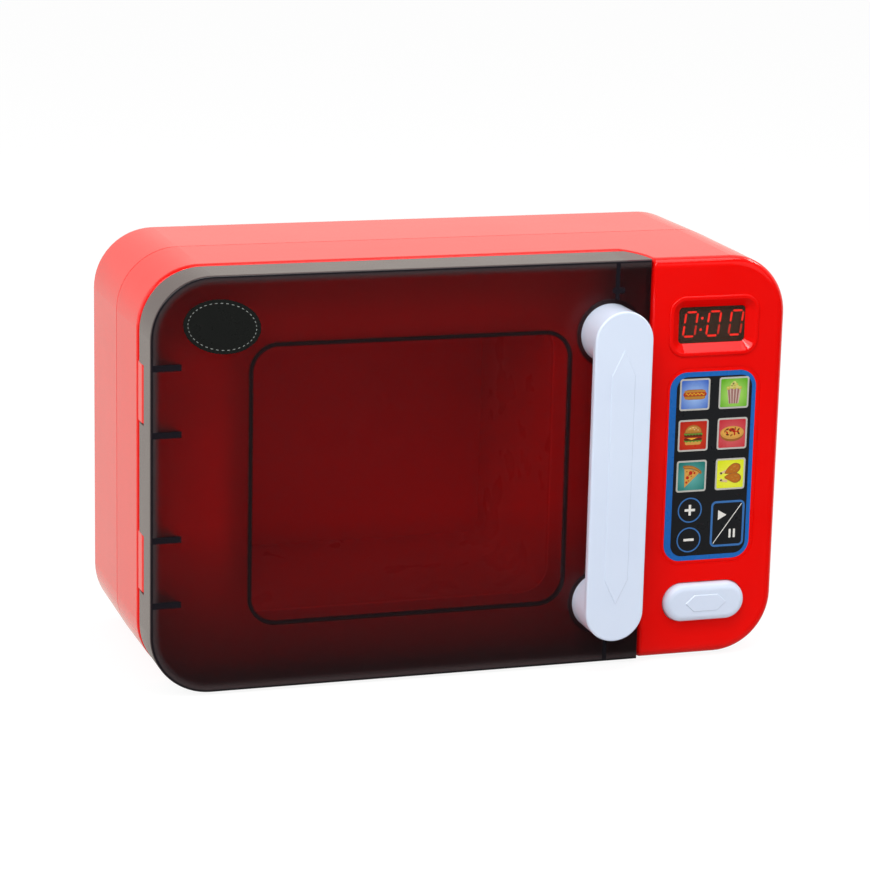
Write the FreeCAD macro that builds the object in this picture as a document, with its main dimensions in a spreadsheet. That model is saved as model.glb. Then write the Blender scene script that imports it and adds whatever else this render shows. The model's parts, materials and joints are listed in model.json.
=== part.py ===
import FreeCAD, Part
import math
import os
import re
import Sketcher

# A toy microwave oven: a red two-shell case with an oven chamber, a smoked door on
# two hinges, a control panel with nine keys under a film, and a push button that
# turns the door latch.
#
# Every sub-part is drawn in the case's own coordinates: X to the right from the middle,
# Y backwards from the front of door and panel, Z up from the underside of the case.
# The Placement of each sub-part then sets the finished toy on its feet, with the
# origin under the middle of the whole.

doc = FreeCAD.newDocument("ToyOven")
sheet = doc.addObject("Spreadsheet::Sheet", "Size")

SIZES = {
    # case
    "case_width": 290.8,
    "case_height": 184.3,
    "case_depth": 122.7,
    "case_corner": 27.0,
    "case_wall": 2.3,
    "case_draft": 0.55,
    "seam_depth": 66.0,
    "seam_bevel": 0.3,
    "seam_gap": 0.1,
    "lip_length": 3.0,
    "lip_wall": 1.2,
    "fit_gap": 0.15,
    "rear_round": 5.0,
    "recess_depth": 24.4,
    "recess_round": 2.5,
    "panel_width": 65.4,
    "panel_round": 4.5,
    "flank_round": 1.6,
    "foot_height": 1.5,
    "foot_diameter": 14.0,
    "foot_inset": 34.0,
    "foot_setback": 14.0,
    # door
    "door_rear_gap": 1.8,
    "door_wall": 2.2,
    "door_gap": 0.9,
    "door_front_round": 1.0,
    "door_rear_round": 1.0,
    "flank_bend": 38.0,
    "flank_straight": 2.0,
    "window_side": 43.9,
    "window_flank": 37.0,
    "window_bottom": 29.5,
    "window_head": 30.8,
    "window_corner": 12.0,
    "window_groove": 2.0,
    "window_groove_depth": 0.7,
    # hinges
    "hinge_inset": 4.4,
    "hinge_reach": 6.0,
    "knuckle_radius": 4.2,
    "knuckle_height": 25.9,
    "hinge_low": 55.35,
    "hinge_drop": 53.55,
    "hinge_gap": 0.3,
    "ear_wall": 2.6,
    "ear_reach": 13.4,
    "ear_radius": 3.9,
    "ear_round": 2.8,
    "notch_gap": 1.2,
    "pin_diameter": 3.0,
    "pin_head": 0.6,
    "grip_gap": 0.01,
    "running_gap": 0.06,
    # handle
    "handle_inset": 18.6,
    "handle_low": 28.7,
    "handle_head": 32.6,
    "handle_width": 27.0,
    "handle_reach": 18.0,
    "handle_bar": 3.0,
    "handle_seat": 0.8,
    "handle_seat_edge": 2.0,
    "handle_boss": 9.0,
    "handle_boss_height": 5.0,
    "handle_round": 0.9,
    "handle_mark_width": 11.0,
    "handle_mark_length": 115.2,
    "handle_mark_point": 10.8,
    "mark_rise": 0.3,
    "mark_slope": 45.0,
    # badge
    "badge_inset": 31.0,
    "badge_drop": 22.0,
    "badge_width": 34.1,
    "badge_height": 23.5,
    "badge_thickness": 0.25,
    "badge_tilt": 8.5,
    # oven chamber
    "oven_side": 3.5,
    "oven_flank": 1.0,
    "oven_drop": 1.5,
    "oven_corner": 12.0,
    "oven_rear_gap": 10.7,
    "oven_wall": 2.0,
    "oven_draft": 3.0,
    "oven_flange": 9.0,
    "oven_boss_height": 6.0,
    "oven_boss": 7.0,
    "oven_step": 0.4,
    "oven_lip_round": 0.9,
    # panel: what is left of its height is shared out between display, keypad and button
    "button_share": 0.325,
    "keypad_share": 0.205,
    "display_share": 0.138,
    # display
    "display_inset": 34.75,
    "rim_width": 43.0,
    "rim_height": 27.5,
    "rim_corner": 7.5,
    "rim_band": 1.7,
    "rim_rise": 0.8,
    "rim_roll": 0.7,
    "display_depth": 2.6,
    "glass_width": 32.0,
    "glass_height": 16.5,
    "glass_corner": 2.0,
    "glass_edge": 1.5,
    "glass_thickness": 1.2,
    "seat_lip": 0.5,
    "digits_width": 31.0,
    "digits_height": 16.0,
    # keypad
    "keypad_inset": 33.85,
    "keypad_width": 41.5,
    "keypad_height": 87.5,
    "keypad_corner": 8.0,
    "film_thickness": 0.4,
    "bead_width": 0.9,
    "bead_depth": 0.3,
    "bead_offset": 1.2,
    "left_column": 8.75,
    "right_column": 10.15,
    "key_head": 10.3,
    "key_pitch": 18.85,
    "key_size": 14.0,
    "key_corner": 1.2,
    "plus_drop": 15.9,
    "minus_drop": 13.9,
    "round_key": 11.2,
    "play_column": 9.85,
    "play_drop": 7.3,
    "play_width": 15.8,
    "play_height": 21.0,
    "key_gap": 0.2,
    "key_lip": 1.0,
    "key_lip_wall": 0.9,
    "key_travel": 0.6,
    "key_free_play": 0.1,
    "stalk_diameter": 4.0,
    # board
    "board_front": 12.0,
    "board_thickness": 1.6,
    "board_side": 5.0,
    "board_flank": 12.9,
    "board_sill": 1.5,
    "board_head": 5.9,
    "board_inset": 3.2,
    "board_post": 5.0,
    "switch_size": 6.0,
    "switch_body": 3.5,
    "switch_stem": 3.4,
    "switch_nib": 0.8,
    # release button
    "button_inset": 34.5,
    "button_width": 38.8,
    "button_height": 17.6,
    "button_rise": 4.0,
    "button_round": 3.2,
    "button_gap": 0.35,
    "button_depth": 4.6,
    "button_lip": 1.4,
    "button_lip_wall": 1.4,
    "button_travel": 3.5,
    "button_mark_width": 19.6,
    "button_mark_height": 7.8,
    "button_mark_point": 3.9,
    "stem_diameter": 5.0,
    "cross_diameter": 4.0,
    "cross_length": 13.0,
    "spring_coil": 9.0,
    "spring_wire": 0.9,
    "spring_pitch": 4.4,
    # latch
    "bracket_gap": 3.3,
    "bracket_wall": 2.4,
    "bracket_reach": 4.3,
    "bracket_flank": 5.9,
    "bracket_bottom": 4.5,
    "bracket_head": 17.4,
    "bracket_post": 6.0,
    "bracket_round": 2.0,
    "lever_arm": 27.4,
    "pivot_reach": 9.6,
    "lug_radius": 4.2,
    "lug_round": 3.9,
    "lug_wall": 2.0,
    "fork_wall": 2.0,
    "lug_gap": 0.15,
    "lever_reach": 3.0,
    "lever_height": 11.0,
    "nose_gap": 0.9,
    "nose_setback": 2.4,
    "nose_length": 4.0,
    "nose_bevel": 0.8,
    "nose_width": 2.4,
    "nose_heel": 2.0,
    "tongue_inset": 13.6,
    "tongue_wall": 3.0,
    "tongue_height": 12.0,
    "tongue_length": 10.8,
    "tongue_notch": 1.2,
    "tongue_hook": 4.0,
    "slot_gap": 1.0,
    # rear of the case
    "speaker_inset": 33.4,
    "speaker_drop": 56.3,
    "speaker_diameter": 40.0,
    "speaker_depth": 7.0,
    "speaker_frame": 2.0,
    "speaker_ring": 1.6,
    "speaker_flange": 2.6,
    "speaker_washer": 7.6,
    "speaker_screw_length": 3.0,
    "speaker_magnet": 22.0,
    "speaker_magnet_depth": 6.5,
    "grille_hole": 2.6,
    "grille_edge": 3.5,
    "battery_inset": 41.9,
    "battery_z": 48.0,
    "battery_diameter": 14.5,
    "battery_length": 50.5,
    "battery_pitch": 15.2,
    "contact_space": 4.2,
    "battery_box_wall": 1.8,
    "cover_wall": 2.0,
    "cover_ledge": 3.2,
    "screw_land": 8.0,
    "tab_reach": 2.4,
    "tab_wall": 1.4,
    "battery_play": 0.8,
    "cover_corner": 4.0,
    "cover_tab": 8.0,
    "contact_wall": 0.4,
    "contact_width": 9.0,
    "contact_bow": 3.2,
    # screws
    "boss_diameter": 7.0,
    "case_tube": 9.0,
    "tube_floor": 6.0,
    "boss_inset": 17.4,
    "boss_low": 17.0,
    "boss_flank": 8.9,
    "boss_right_low": 60.0,
    "boss_right_drop": 38.3,
    "screw_diameter": 2.9,
    "screw_head": 5.4,
    "screw_head_height": 1.9,
    "case_screw_length": 16.0,
    "small_screw_length": 8.0,
    "small_screw_head": 4.6,
    "small_screw": 2.2,
    "handle_screw_length": 12.0,
}

# places that follow from the sizes and are used by name like them
PLACES = {
    "case_left": "-case_width / 2",
    "case_right": "case_width / 2",
    "recess_back": "recess_depth + case_wall",
    "seam_growth": "seam_depth * tan(case_draft)",
    "door_right": "case_right - panel_width",
    "door_depth": "recess_depth - door_rear_gap",
    "hinge_x": "case_left + hinge_inset",
    "hinge_y": "recess_depth - hinge_reach",
    "hinge_high": "case_height - hinge_drop",
    "window_left": "case_left + window_side",
    "window_right": "door_right - window_flank",
    "window_top": "case_height - window_head",
    "oven_left": "window_left - oven_side",
    "oven_right": "window_right + oven_flank",
    "oven_bottom": "window_bottom - oven_drop",
    "oven_top": "window_top - oven_drop",
    "oven_back": "case_depth - oven_rear_gap",
    "handle_x": "door_right - handle_inset",
    "handle_high": "case_height - handle_head",
    "badge_x": "case_left + badge_inset",
    "badge_z": "case_height - badge_drop",
    "panel_spare": "case_height - rim_height - keypad_height - button_height",
    "button_x": "case_right - button_inset",
    "button_z": "panel_spare * button_share + button_height / 2",
    "keypad_x": "case_right - keypad_inset",
    "keypad_bottom": "button_z + button_height / 2 + panel_spare * keypad_share",
    "keypad_top": "keypad_bottom + keypad_height",
    "keypad_z": "keypad_bottom + keypad_height / 2",
    "display_x": "case_right - display_inset",
    "display_z": "keypad_top + panel_spare * display_share + rim_height / 2",
    "key_left": "keypad_x - left_column",
    "key_right": "keypad_x + right_column",
    "key_high": "keypad_top - key_head",
    "plus_z": "key_high - 2 * key_pitch - plus_drop",
    "minus_z": "plus_z - minus_drop",
    "play_x": "keypad_x + play_column",
    "play_z": "plus_z - play_drop",
    "board_left": "door_right + board_side",
    "board_right": "case_right - board_flank",
    "board_bottom": "keypad_bottom - board_sill",
    "board_top": "display_z + rim_height / 2 + board_head",
    "bracket_front": "recess_back + bracket_gap",
    "bracket_left": "pivot_x - bracket_reach",
    "bracket_right": "case_right - bracket_flank",
    "bracket_top": "button_z + bracket_head",
    "pivot_x": "button_x - lever_arm",
    "pivot_y": "bracket_front + bracket_wall + pivot_reach",
    "tongue_x": "door_right - tongue_inset",
    "tongue_reach": "recess_back + tongue_length",
    "battery_x": "case_right - battery_inset",
    "speaker_x": "case_right - speaker_inset",
    "speaker_z": "case_height - speaker_drop",
    "boss_left": "case_left + boss_inset",
    "boss_high": "case_height - boss_low",
    "boss_right": "case_right - boss_flank",
    "boss_right_high": "case_height - boss_right_drop",
}

for row, (alias, size) in enumerate(SIZES.items(), start=1):
    sheet.set("A%d" % row, alias)
    sheet.set("B%d" % row, str(size))
    sheet.setAlias("B%d" % row, alias)
doc.recompute()

ALIAS = re.compile(r"[a-z]+(?:_[a-z]+)+")


def linked(text):
    """An expression on the sheet, from one that names sizes and places."""
    def meaning(found):
        name = found.group()
        return "(%s)" % linked(PLACES[name]) if name in PLACES else "Size." + name

    return ALIAS.sub(meaning, text)


def value(text):
    """What an expression is worth now, in millimetres."""
    return float(sheet.evalExpression(linked(text)))


def bind(thing, **sizes):
    """Bind properties to expressions; a double underscore stands for a dot."""
    for name, text in sizes.items():
        thing.setExpression(name.replace("__", "."), linked(text))


# ---------------------------------------------------------------- bodies and sketches

BACK, UP, ACROSS = "XZ_Plane", "XY_Plane", "YZ_Plane"
NEAR = 0.01
subparts = []


def place(thing, across="0", up="0"):
    """Set a finished sub-part on its feet, centred over the origin."""
    bind(
        thing,
        Placement__Base__x=across,
        Placement__Base__y="(handle_reach - case_depth) / 2",
        Placement__Base__z="foot_height + %s" % up,
    )


def subpart(label, across="0", up="0"):
    """A body that becomes a sub-part, with its own origin moved across and up."""
    body = doc.addObject("PartDesign::Body", label)
    body.Label = label
    place(body, across, up)
    subparts.append(body)
    return body


def inner_space(label):
    """A body that is cut out of another one and isn't a sub-part itself."""
    body = doc.addObject("PartDesign::Body", label)
    body.Label = label
    return body


class Drawing:
    """A sketch across an axis of its body, whose points and sizes are held by expressions."""

    def __init__(self, body, plane, at="0"):
        self.plane = plane
        self.sketch = body.newObject("Sketcher::SketchObject", body.Name + "_sketch")
        origin = next(item for item in body.Origin.OriginFeatures if item.Role == plane)
        self.sketch.AttachmentSupport = [(origin, "")]
        self.sketch.MapMode = "FlatFace"
        sign = "-1" if plane == BACK else "1"
        bind(self.sketch, AttachmentOffset__Base__z="%s * (%s)" % (sign, at))
        self.rules = []
        self.texts = {}

    def add(self, shape, construction=False):
        return self.sketch.addGeometry(shape, construction)

    def rule(self, kind, *where):
        self.rules.append(Sketcher.Constraint(kind, *where))

    def hold(self, kind, *where):
        """A rule whose last argument is an expression."""
        self.texts[len(self.rules)] = where[-1]
        self.rule(kind, *where[:-1], value(where[-1]))

    def hold_point(self, shape, point, across, up):
        self.hold("DistanceX", -1, 1, shape, point, across)
        self.hold("DistanceY", -1, 1, shape, point, up)

    def finish(self):
        """Give the sketch its rules; features call this."""
        self.sketch.addConstraint(self.rules)
        for number, text in self.texts.items():
            self.sketch.setExpression("Constraints[%d]" % number, linked(text))
        return self.sketch

    def circle(self, across, up, diameter):
        shape = self.add(ring(value(across), value(up), value(diameter) / 2))
        self.hold_point(shape, 3, across, up)
        self.hold("Diameter", shape, diameter)

    def outline(self, corners):
        """A closed outline through corners (across, up) or (across, up, radius)."""
        spots = [FreeCAD.Vector(value(corner[0]), value(corner[1]), 0) for corner in corners]
        radii = [value(corner[2]) if len(corner) > 2 else 0.0 for corner in corners]
        after = spots[1:] + spots[:1]
        inward = [(spot - before).normalize() for before, spot in zip(spots[-1:] + spots, spots)]
        outward = inward[1:] + inward[:1]
        cuts = [
            radius * math.tan(first.getAngle(last) / 2)
            for radius, first, last in zip(radii, inward, outward)
        ]
        starts = [spot + way * cut for spot, way, cut in zip(spots, outward, cuts)]
        ends = [spot - way * cut for spot, way, cut in zip(spots, inward, cuts)]
        lines = [
            self.add(Part.LineSegment(start, end))
            for start, end in zip(starts, ends[1:] + ends[:1])
        ]
        for index, corner in enumerate(corners):
            before, line = lines[index - 1], lines[index]
            if len(corner) == 2:
                self.rule("Coincident", before, 2, line, 1)
                self.hold_point(line, 1, *corner)
                continue
            left = inward[index].cross(outward[index]).z > 0
            limits = (ends[index], starts[index]) if left else (starts[index], ends[index])
            arc = self.add(rounding(spots[index], *limits, radii[index]))
            point = self.add(Part.Point(spots[index]), True)
            self.hold_point(point, 1, *corner[:2])
            self.rule("PointOnObject", point, 1, before)
            self.rule("PointOnObject", point, 1, line)
            self.rule("Tangent", before, 2, arc, 1 if left else 2)
            self.rule("Tangent", line, 1, arc, 2 if left else 1)
            self.hold("Radius", arc, corner[2])

    def box(self, left, right, low, high, radius=None):
        """A rectangle between four limits, with rounded corners if a radius is given."""
        corners = [(left, low), (right, low), (right, high), (left, high)]
        self.outline([corner + ((radius,) if radius else ()) for corner in corners])

    def plate(self, across, up, width, height, radius=None):
        """A rectangle about a centre."""
        self.box(
            "%s - (%s) / 2" % (across, width), "%s + (%s) / 2" % (across, width),
            "%s - (%s) / 2" % (up, height), "%s + (%s) / 2" % (up, height),
            radius,
        )

    def slot(self, first, last, width):
        """A slot whose round ends are centred on two points."""
        near = FreeCAD.Vector(value(first[0]), value(first[1]), 0)
        far = FreeCAD.Vector(value(last[0]), value(last[1]), 0)
        along = (far - near).normalize()
        side = FreeCAD.Vector(-along.y, along.x, 0) * (value(width) / 2)
        sides = [
            self.add(Part.LineSegment(near - side, far - side)),
            self.add(Part.LineSegment(far + side, near + side)),
        ]
        ends = [self.arc(far, far - side, far + side), self.arc(near, near + side, near - side)]
        for line, end, other in (sides[0], ends[0], sides[1]), (sides[1], ends[1], sides[0]):
            self.rule("Tangent", line, 2, end, 1)
            self.rule("Tangent", end, 2, other, 1)
        self.hold_point(ends[0], 3, *last)
        self.hold_point(ends[1], 3, *first)
        self.hold("Radius", ends[0], "(%s) / 2" % width)

    def arc(self, centre, first, last):
        """An anticlockwise arc about a centre."""
        whole = ring(centre.x, centre.y, (first - centre).Length)
        return self.add(Part.ArcOfCircle(whole, whole.parameter(first), whole.parameter(last)))

    def flank(self, offset, front, rear, far):
        """Everything from the curved flank between door and panel to a far limit, in plan."""
        edge = "door_right + (%s)" % offset
        radius = "flank_bend + (%s)" % offset
        centre = FreeCAD.Vector(value("door_right - flank_bend"), value("flank_straight"), 0)
        depth = value(rear) - centre.y
        end = centre + FreeCAD.Vector(math.sqrt(value(radius) ** 2 - depth ** 2), depth, 0)
        top = FreeCAD.Vector(value(edge), value(front), 0)
        bend = FreeCAD.Vector(value(edge), centre.y, 0)
        near = FreeCAD.Vector(value(far), top.y, 0)
        deep = FreeCAD.Vector(value(far), end.y, 0)
        first = self.add(Part.LineSegment(near, top))
        down = self.add(Part.LineSegment(top, bend))
        arc = self.arc(centre, bend, end)
        across = self.add(Part.LineSegment(end, deep))
        back = self.add(Part.LineSegment(deep, near))
        for before, line in ((first, down), (arc, across), (across, back), (back, first)):
            self.rule("Coincident", before, 2, line, 1)
        self.rule("Tangent", down, 2, arc, 1)
        self.rule("Vertical", down)
        self.rule("Horizontal", across)
        self.hold_point(first, 1, far, front)
        self.hold_point(down, 1, edge, front)
        self.hold_point(across, 2, far, rear)
        self.hold("Radius", arc, radius)
        self.hold("DistanceY", -1, 1, arc, 3, "flank_straight")


def ring(across, up, radius):
    return Part.Circle(FreeCAD.Vector(across, up, 0), FreeCAD.Vector(0, 0, 1), radius)


def rounding(corner, first, last, radius):
    """The arc that runs anticlockwise from first to last, tangent to both sides of a corner."""
    middle = (first + last) / 2
    chord = (last - first).Length / 2
    inward = (middle - corner).normalize()
    centre = middle + inward * math.sqrt(max(radius ** 2 - chord ** 2, 0.0))
    whole = ring(centre.x, centre.y, radius)
    return Part.ArcOfCircle(whole, whole.parameter(first), whole.parameter(last))


# ---------------------------------------------------------------- features

def feature(body, kind, drawing, length, **settings):
    sketch = drawing.finish()
    made = body.newObject("PartDesign::" + kind, body.Name + "_" + kind.lower())
    made.Profile = sketch
    for name, setting in settings.items():
        setattr(made, name, setting)
    bind(made, Length=length)
    return made


def pad(body, drawing, length):
    """Material from the drawing towards the plus side of its axis."""
    return feature(body, "Pad", drawing, length, Reversed=drawing.plane == BACK)


def pocket(body, drawing, length):
    """A cut from the drawing towards the plus side of its axis."""
    return feature(body, "Pocket", drawing, length, Reversed=drawing.plane != BACK)


def revolve(body, drawing, axis):
    """A full turn of the drawing about one of its own axes."""
    sketch = drawing.finish()
    made = body.newObject("PartDesign::Revolution", body.Name + "_revolution")
    made.Profile = sketch
    made.ReferenceAxis = (sketch, [axis])
    made.Angle = 360.0
    return made


def edges(body, wanted):
    """Names of the edges of the body's last feature that a test picks out."""
    doc.recompute()
    shape = body.Tip.Shape
    return ["Edge%d" % number for number, edge in enumerate(shape.Edges, start=1) if wanted(edge)]


def soften(body, kind, wanted, **size):
    """A Fillet or Chamfer on the edges that a test picks out."""
    names = edges(body, wanted)
    if not names:
        raise RuntimeError("no edge to soften on %s" % body.Name)
    base = body.Tip
    made = body.newObject("PartDesign::" + kind, body.Name + "_" + kind.lower())
    made.Base = (base, names)
    bind(made, **size)
    doc.recompute()
    return made


def cut_space(body, space):
    """Cut an inner space out of a body."""
    made = body.newObject("PartDesign::Boolean", body.Name + "_space")
    made.setObjects([space])
    made.Type = "Cut"
    return made


def at_depth(text):
    """A test for edges that lie wholly in one plane across the depth."""
    depth = value(text)
    return lambda edge: abs(edge.BoundBox.YMin - depth) < NEAR and abs(edge.BoundBox.YMax - depth) < NEAR


def posts(body, places, front, rear, diameter):
    """Round posts along the depth, between two limits."""
    drawing = Drawing(body, BACK, front)
    for across, up in places:
        drawing.circle(across, up, diameter)
    pad(body, drawing, "%s - (%s)" % (rear, front))


def holes(body, places, front, rear, diameter):
    """Round holes along the depth, between two limits."""
    drawing = Drawing(body, BACK, front)
    for across, up in places:
        drawing.circle(across, up, diameter)
    pocket(body, drawing, "%s - (%s)" % (rear, front))


SEAM_FRONT = "seam_depth - seam_gap / 2"
SEAM_REAR = "seam_depth + seam_gap / 2"


def case_front(drawing, inset, left="case_left"):
    """The front view of the case moved in by an inset, from a left limit to the right side."""
    corner = ("case_corner - (%s)" % inset,)
    whole = left == "case_left"
    near = "case_left + (%s)" % inset if whole else left
    near_corner = corner if whole else ()
    low, high = inset, "case_height - (%s)" % inset
    far = "case_right - (%s)" % inset
    drawing.outline([
        (near, low) + near_corner, (far, low) + corner,
        (far, high) + corner, (near, high) + near_corner,
    ])


# ---------------------------------------------------------------- shared places

HINGES = ("hinge_low", "hinge_high")
LEFT_BOSSES = [("boss_left", "boss_low"), ("boss_left", "boss_high")]
RIGHT_BOSSES = [("boss_right", "boss_right_low"), ("boss_right", "boss_right_high")]
BOARD_POSTS = [
    (across, up)
    for across in ("board_left + board_inset", "board_right - board_inset")
    for up in ("board_bottom + board_inset", "board_top - board_inset")
]
BRACKET_POSTS = [
    ("bracket_left + bracket_post", "bracket_top - bracket_post / 2"),
    ("bracket_right - bracket_post / 2", "bracket_top - bracket_post / 2"),
    ("button_x", "bracket_bottom + bracket_post / 2"),
]
OVEN_POSTS = [
    (across, up)
    for across in ("oven_left - oven_flange / 2", "oven_right + oven_flange / 2")
    for up in ("oven_bottom - oven_flange / 2", "oven_top + oven_flange / 2")
]
BUTTON_ENDS = (
    ("button_x - (button_width - button_height) / 2", "button_z"),
    ("button_x + (button_width - button_height) / 2", "button_z"),
)
SQUARE_KEYS = {
    "key_sausage": ("key_left", "key_high"),
    "key_popcorn": ("key_right", "key_high"),
    "key_burger": ("key_left", "key_high - key_pitch"),
    "key_pie": ("key_right", "key_high - key_pitch"),
    "key_pizza": ("key_left", "key_high - 2 * key_pitch"),
    "key_chicken": ("key_right", "key_high - 2 * key_pitch"),
}
ROUND_KEYS = {"key_plus": ("key_left", "plus_z"), "key_minus": ("key_left", "minus_z")}
KEYS = {**SQUARE_KEYS, **ROUND_KEYS, "key_play": ("play_x", "play_z")}
FEET = ("case_left + foot_inset", "case_right - foot_inset")


def key_front(drawing, name, growth, across, up):
    """A key's front view about a centre, grown by a margin all round."""
    if name in ROUND_KEYS:
        drawing.circle(across, up, "round_key + 2 * (%s)" % growth)
        return
    width, height = ("play_width", "play_height") if name == "key_play" else ("key_size", "key_size")
    drawing.plate(
        across, up, width + " + 2 * (%s)" % growth, height + " + 2 * (%s)" % growth,
        "key_corner + (%s)" % growth,
    )


def foot(body, back):
    """Two round feet under the case, at a distance back."""
    drawing = Drawing(body, UP, "-foot_height")
    for across in FEET:
        drawing.circle(across, back, "foot_diameter")
    pad(body, drawing, "foot_height + case_wall / 2")


# ---------------------------------------------------------------- front shell

panel_space = inner_space("panel_space")
drawing = Drawing(panel_space, BACK, "case_wall")
case_front(drawing, "case_wall", "door_right - flank_bend")
pad(panel_space, drawing, "recess_depth")
drawing = Drawing(panel_space, UP, "0")
drawing.flank("door_gap + case_wall", "0", "recess_depth + 2 * case_wall", "0")
pocket(panel_space, drawing, "case_height")

front_shell = subpart("front_shell")
drawing = Drawing(front_shell, BACK)
case_front(drawing, "0")
bind(pad(front_shell, drawing, SEAM_FRONT), TaperAngle="case_draft")
drawing = Drawing(front_shell, UP, "-case_wall")
drawing.flank("door_gap", "-case_wall", "recess_depth", "-case_width")
pocket(front_shell, drawing, "case_height + 2 * case_wall")

on_recess = at_depth("recess_depth")
on_front = at_depth("0")
flank_foot = value("door_right - flank_bend")
panel_edge = value("door_right + door_gap") + NEAR
soften(
    front_shell, "Fillet",
    lambda edge: on_recess(edge) and edge.BoundBox.XMin < flank_foot,
    Radius="recess_round",
)
soften(
    front_shell, "Fillet",
    lambda edge: on_front(edge) and edge.BoundBox.XMax > panel_edge,
    Radius="panel_round",
)
soften(
    front_shell, "Fillet",
    lambda edge: on_front(edge) and edge.BoundBox.XMax < panel_edge,
    Radius="flank_round",
)
soften(front_shell, "Chamfer", at_depth(SEAM_FRONT), Size="seam_bevel")

# hinge knuckles stand forward from the recess
for hinge in HINGES:
    drawing = Drawing(front_shell, UP, "%s - knuckle_height / 2" % hinge)
    drawing.slot(("hinge_x", "hinge_y"), ("hinge_x", "recess_back"), "2 * knuckle_radius")
    pad(front_shell, drawing, "knuckle_height")

# hollow from the rear, then the space behind the panel
drawing = Drawing(front_shell, BACK, "recess_back")
case_front(drawing, "case_wall")
pocket(front_shell, drawing, "seam_depth")
cut_space(front_shell, panel_space)

# the oven's mouth goes through the recess wall, and so does the latch slot
drawing = Drawing(front_shell, BACK, "recess_depth - case_wall")
drawing.box("oven_left", "oven_right", "oven_bottom", "oven_top", "oven_corner")
pocket(front_shell, drawing, "3 * case_wall")
mouth_left, mouth_right = value("oven_left") - NEAR, value("oven_right") + NEAR
soften(
    front_shell, "Fillet",
    lambda edge: on_recess(edge) and mouth_left < edge.BoundBox.XMin < edge.BoundBox.XMax + NEAR
    and edge.BoundBox.XMax < mouth_right,
    Radius="oven_lip_round",
)
drawing = Drawing(front_shell, BACK, "recess_depth - case_wall")
drawing.box(
    "tongue_x - slot_gap", "tongue_x + tongue_wall + 2 * slot_gap",
    "button_z - tongue_height / 2 - slot_gap", "button_z + tongue_height / 2 + slot_gap",
)
pocket(front_shell, drawing, "3 * case_wall")

# pin bores
for hinge in HINGES:
    drawing = Drawing(front_shell, UP, "%s - knuckle_height" % hinge)
    drawing.circle("hinge_x", "hinge_y", "pin_diameter + 2 * running_gap")
    pocket(front_shell, drawing, "2 * knuckle_height")

# display: a raised rim and a sloped well with a seat for the glass
drawing = Drawing(front_shell, BACK, "-rim_rise")
drawing.plate("display_x", "display_z", "rim_width", "rim_height", "rim_corner")
pad(front_shell, drawing, "rim_rise + display_depth + case_wall")
drawing = Drawing(front_shell, BACK, "-rim_rise")
drawing.plate(
    "display_x", "display_z",
    "rim_width - 2 * rim_band", "rim_height - 2 * rim_band", "rim_corner - rim_band",
)
well = pocket(front_shell, drawing, "rim_rise + display_depth")
bind(well, TaperAngle="-atan((rim_width / 2 - rim_band - glass_width / 2) / (rim_rise + display_depth))")
soften(front_shell, "Fillet", at_depth("-rim_rise"), Radius="rim_roll")
drawing = Drawing(front_shell, BACK)
drawing.plate("display_x", "display_z", "glass_width", "glass_height", "glass_corner")
pocket(front_shell, drawing, "display_depth + 2 * case_wall")
drawing = Drawing(front_shell, BACK, "display_depth + seat_lip")
drawing.plate(
    "display_x", "display_z",
    "glass_width + 2 * glass_edge + fit_gap", "glass_height + 2 * glass_edge + fit_gap", "glass_corner",
)
pocket(front_shell, drawing, "2 * case_wall")

# keypad: an embossed line and a seat for the film
def keypad_front(drawing, growth):
    drawing.plate(
        "keypad_x", "keypad_z", "keypad_width + 2 * (%s)" % growth, "keypad_height + 2 * (%s)" % growth,
        "keypad_corner + (%s)" % growth,
    )


drawing = Drawing(front_shell, BACK)
keypad_front(drawing, "bead_offset + bead_width")
keypad_front(drawing, "bead_offset")
pocket(front_shell, drawing, "bead_depth")
drawing = Drawing(front_shell, BACK)
keypad_front(drawing, "fit_gap / 2")
pocket(front_shell, drawing, "film_thickness")

# opening of the release button
drawing = Drawing(front_shell, BACK, "-case_wall")
drawing.slot(*BUTTON_ENDS, "button_height + 2 * button_gap")
pocket(front_shell, drawing, "3 * case_wall")

# posts inside: case screws, oven chamber, board and latch bracket
posts(front_shell, LEFT_BOSSES, "recess_depth + case_wall / 2", SEAM_FRONT, "boss_diameter")
posts(front_shell, RIGHT_BOSSES, "case_wall / 2", SEAM_FRONT, "boss_diameter")
posts(
    front_shell, OVEN_POSTS, "recess_depth + case_wall / 2", "recess_back + oven_boss_height",
    "oven_boss",
)
posts(front_shell, BOARD_POSTS, "case_wall / 2", "board_front", "board_post")
posts(front_shell, BRACKET_POSTS, "case_wall / 2", "bracket_front", "bracket_post")
holes(
    front_shell, LEFT_BOSSES + RIGHT_BOSSES, "seam_depth + tube_floor - case_screw_length", "seam_depth",
    "screw_diameter + 2 * grip_gap",
)
for places, seat, clamped in (
    (OVEN_POSTS, "recess_back + oven_boss_height", "oven_wall"),
    (BOARD_POSTS, "board_front", "board_thickness"),
    (BRACKET_POSTS, "bracket_front", "bracket_wall"),
):
    holes(
        front_shell, places, "%s + %s - small_screw_length" % (seat, clamped), seat,
        "small_screw + 2 * grip_gap",
    )

foot(front_shell, "recess_depth + foot_setback")

# openings of the keys
for names in (SQUARE_KEYS, ROUND_KEYS, ("key_play",)):
    drawing = Drawing(front_shell, BACK)
    for name in names:
        key_front(drawing, name, "key_gap", *KEYS[name])
    pocket(front_shell, drawing, "2 * case_wall")


# ---------------------------------------------------------------- rear shell

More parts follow.
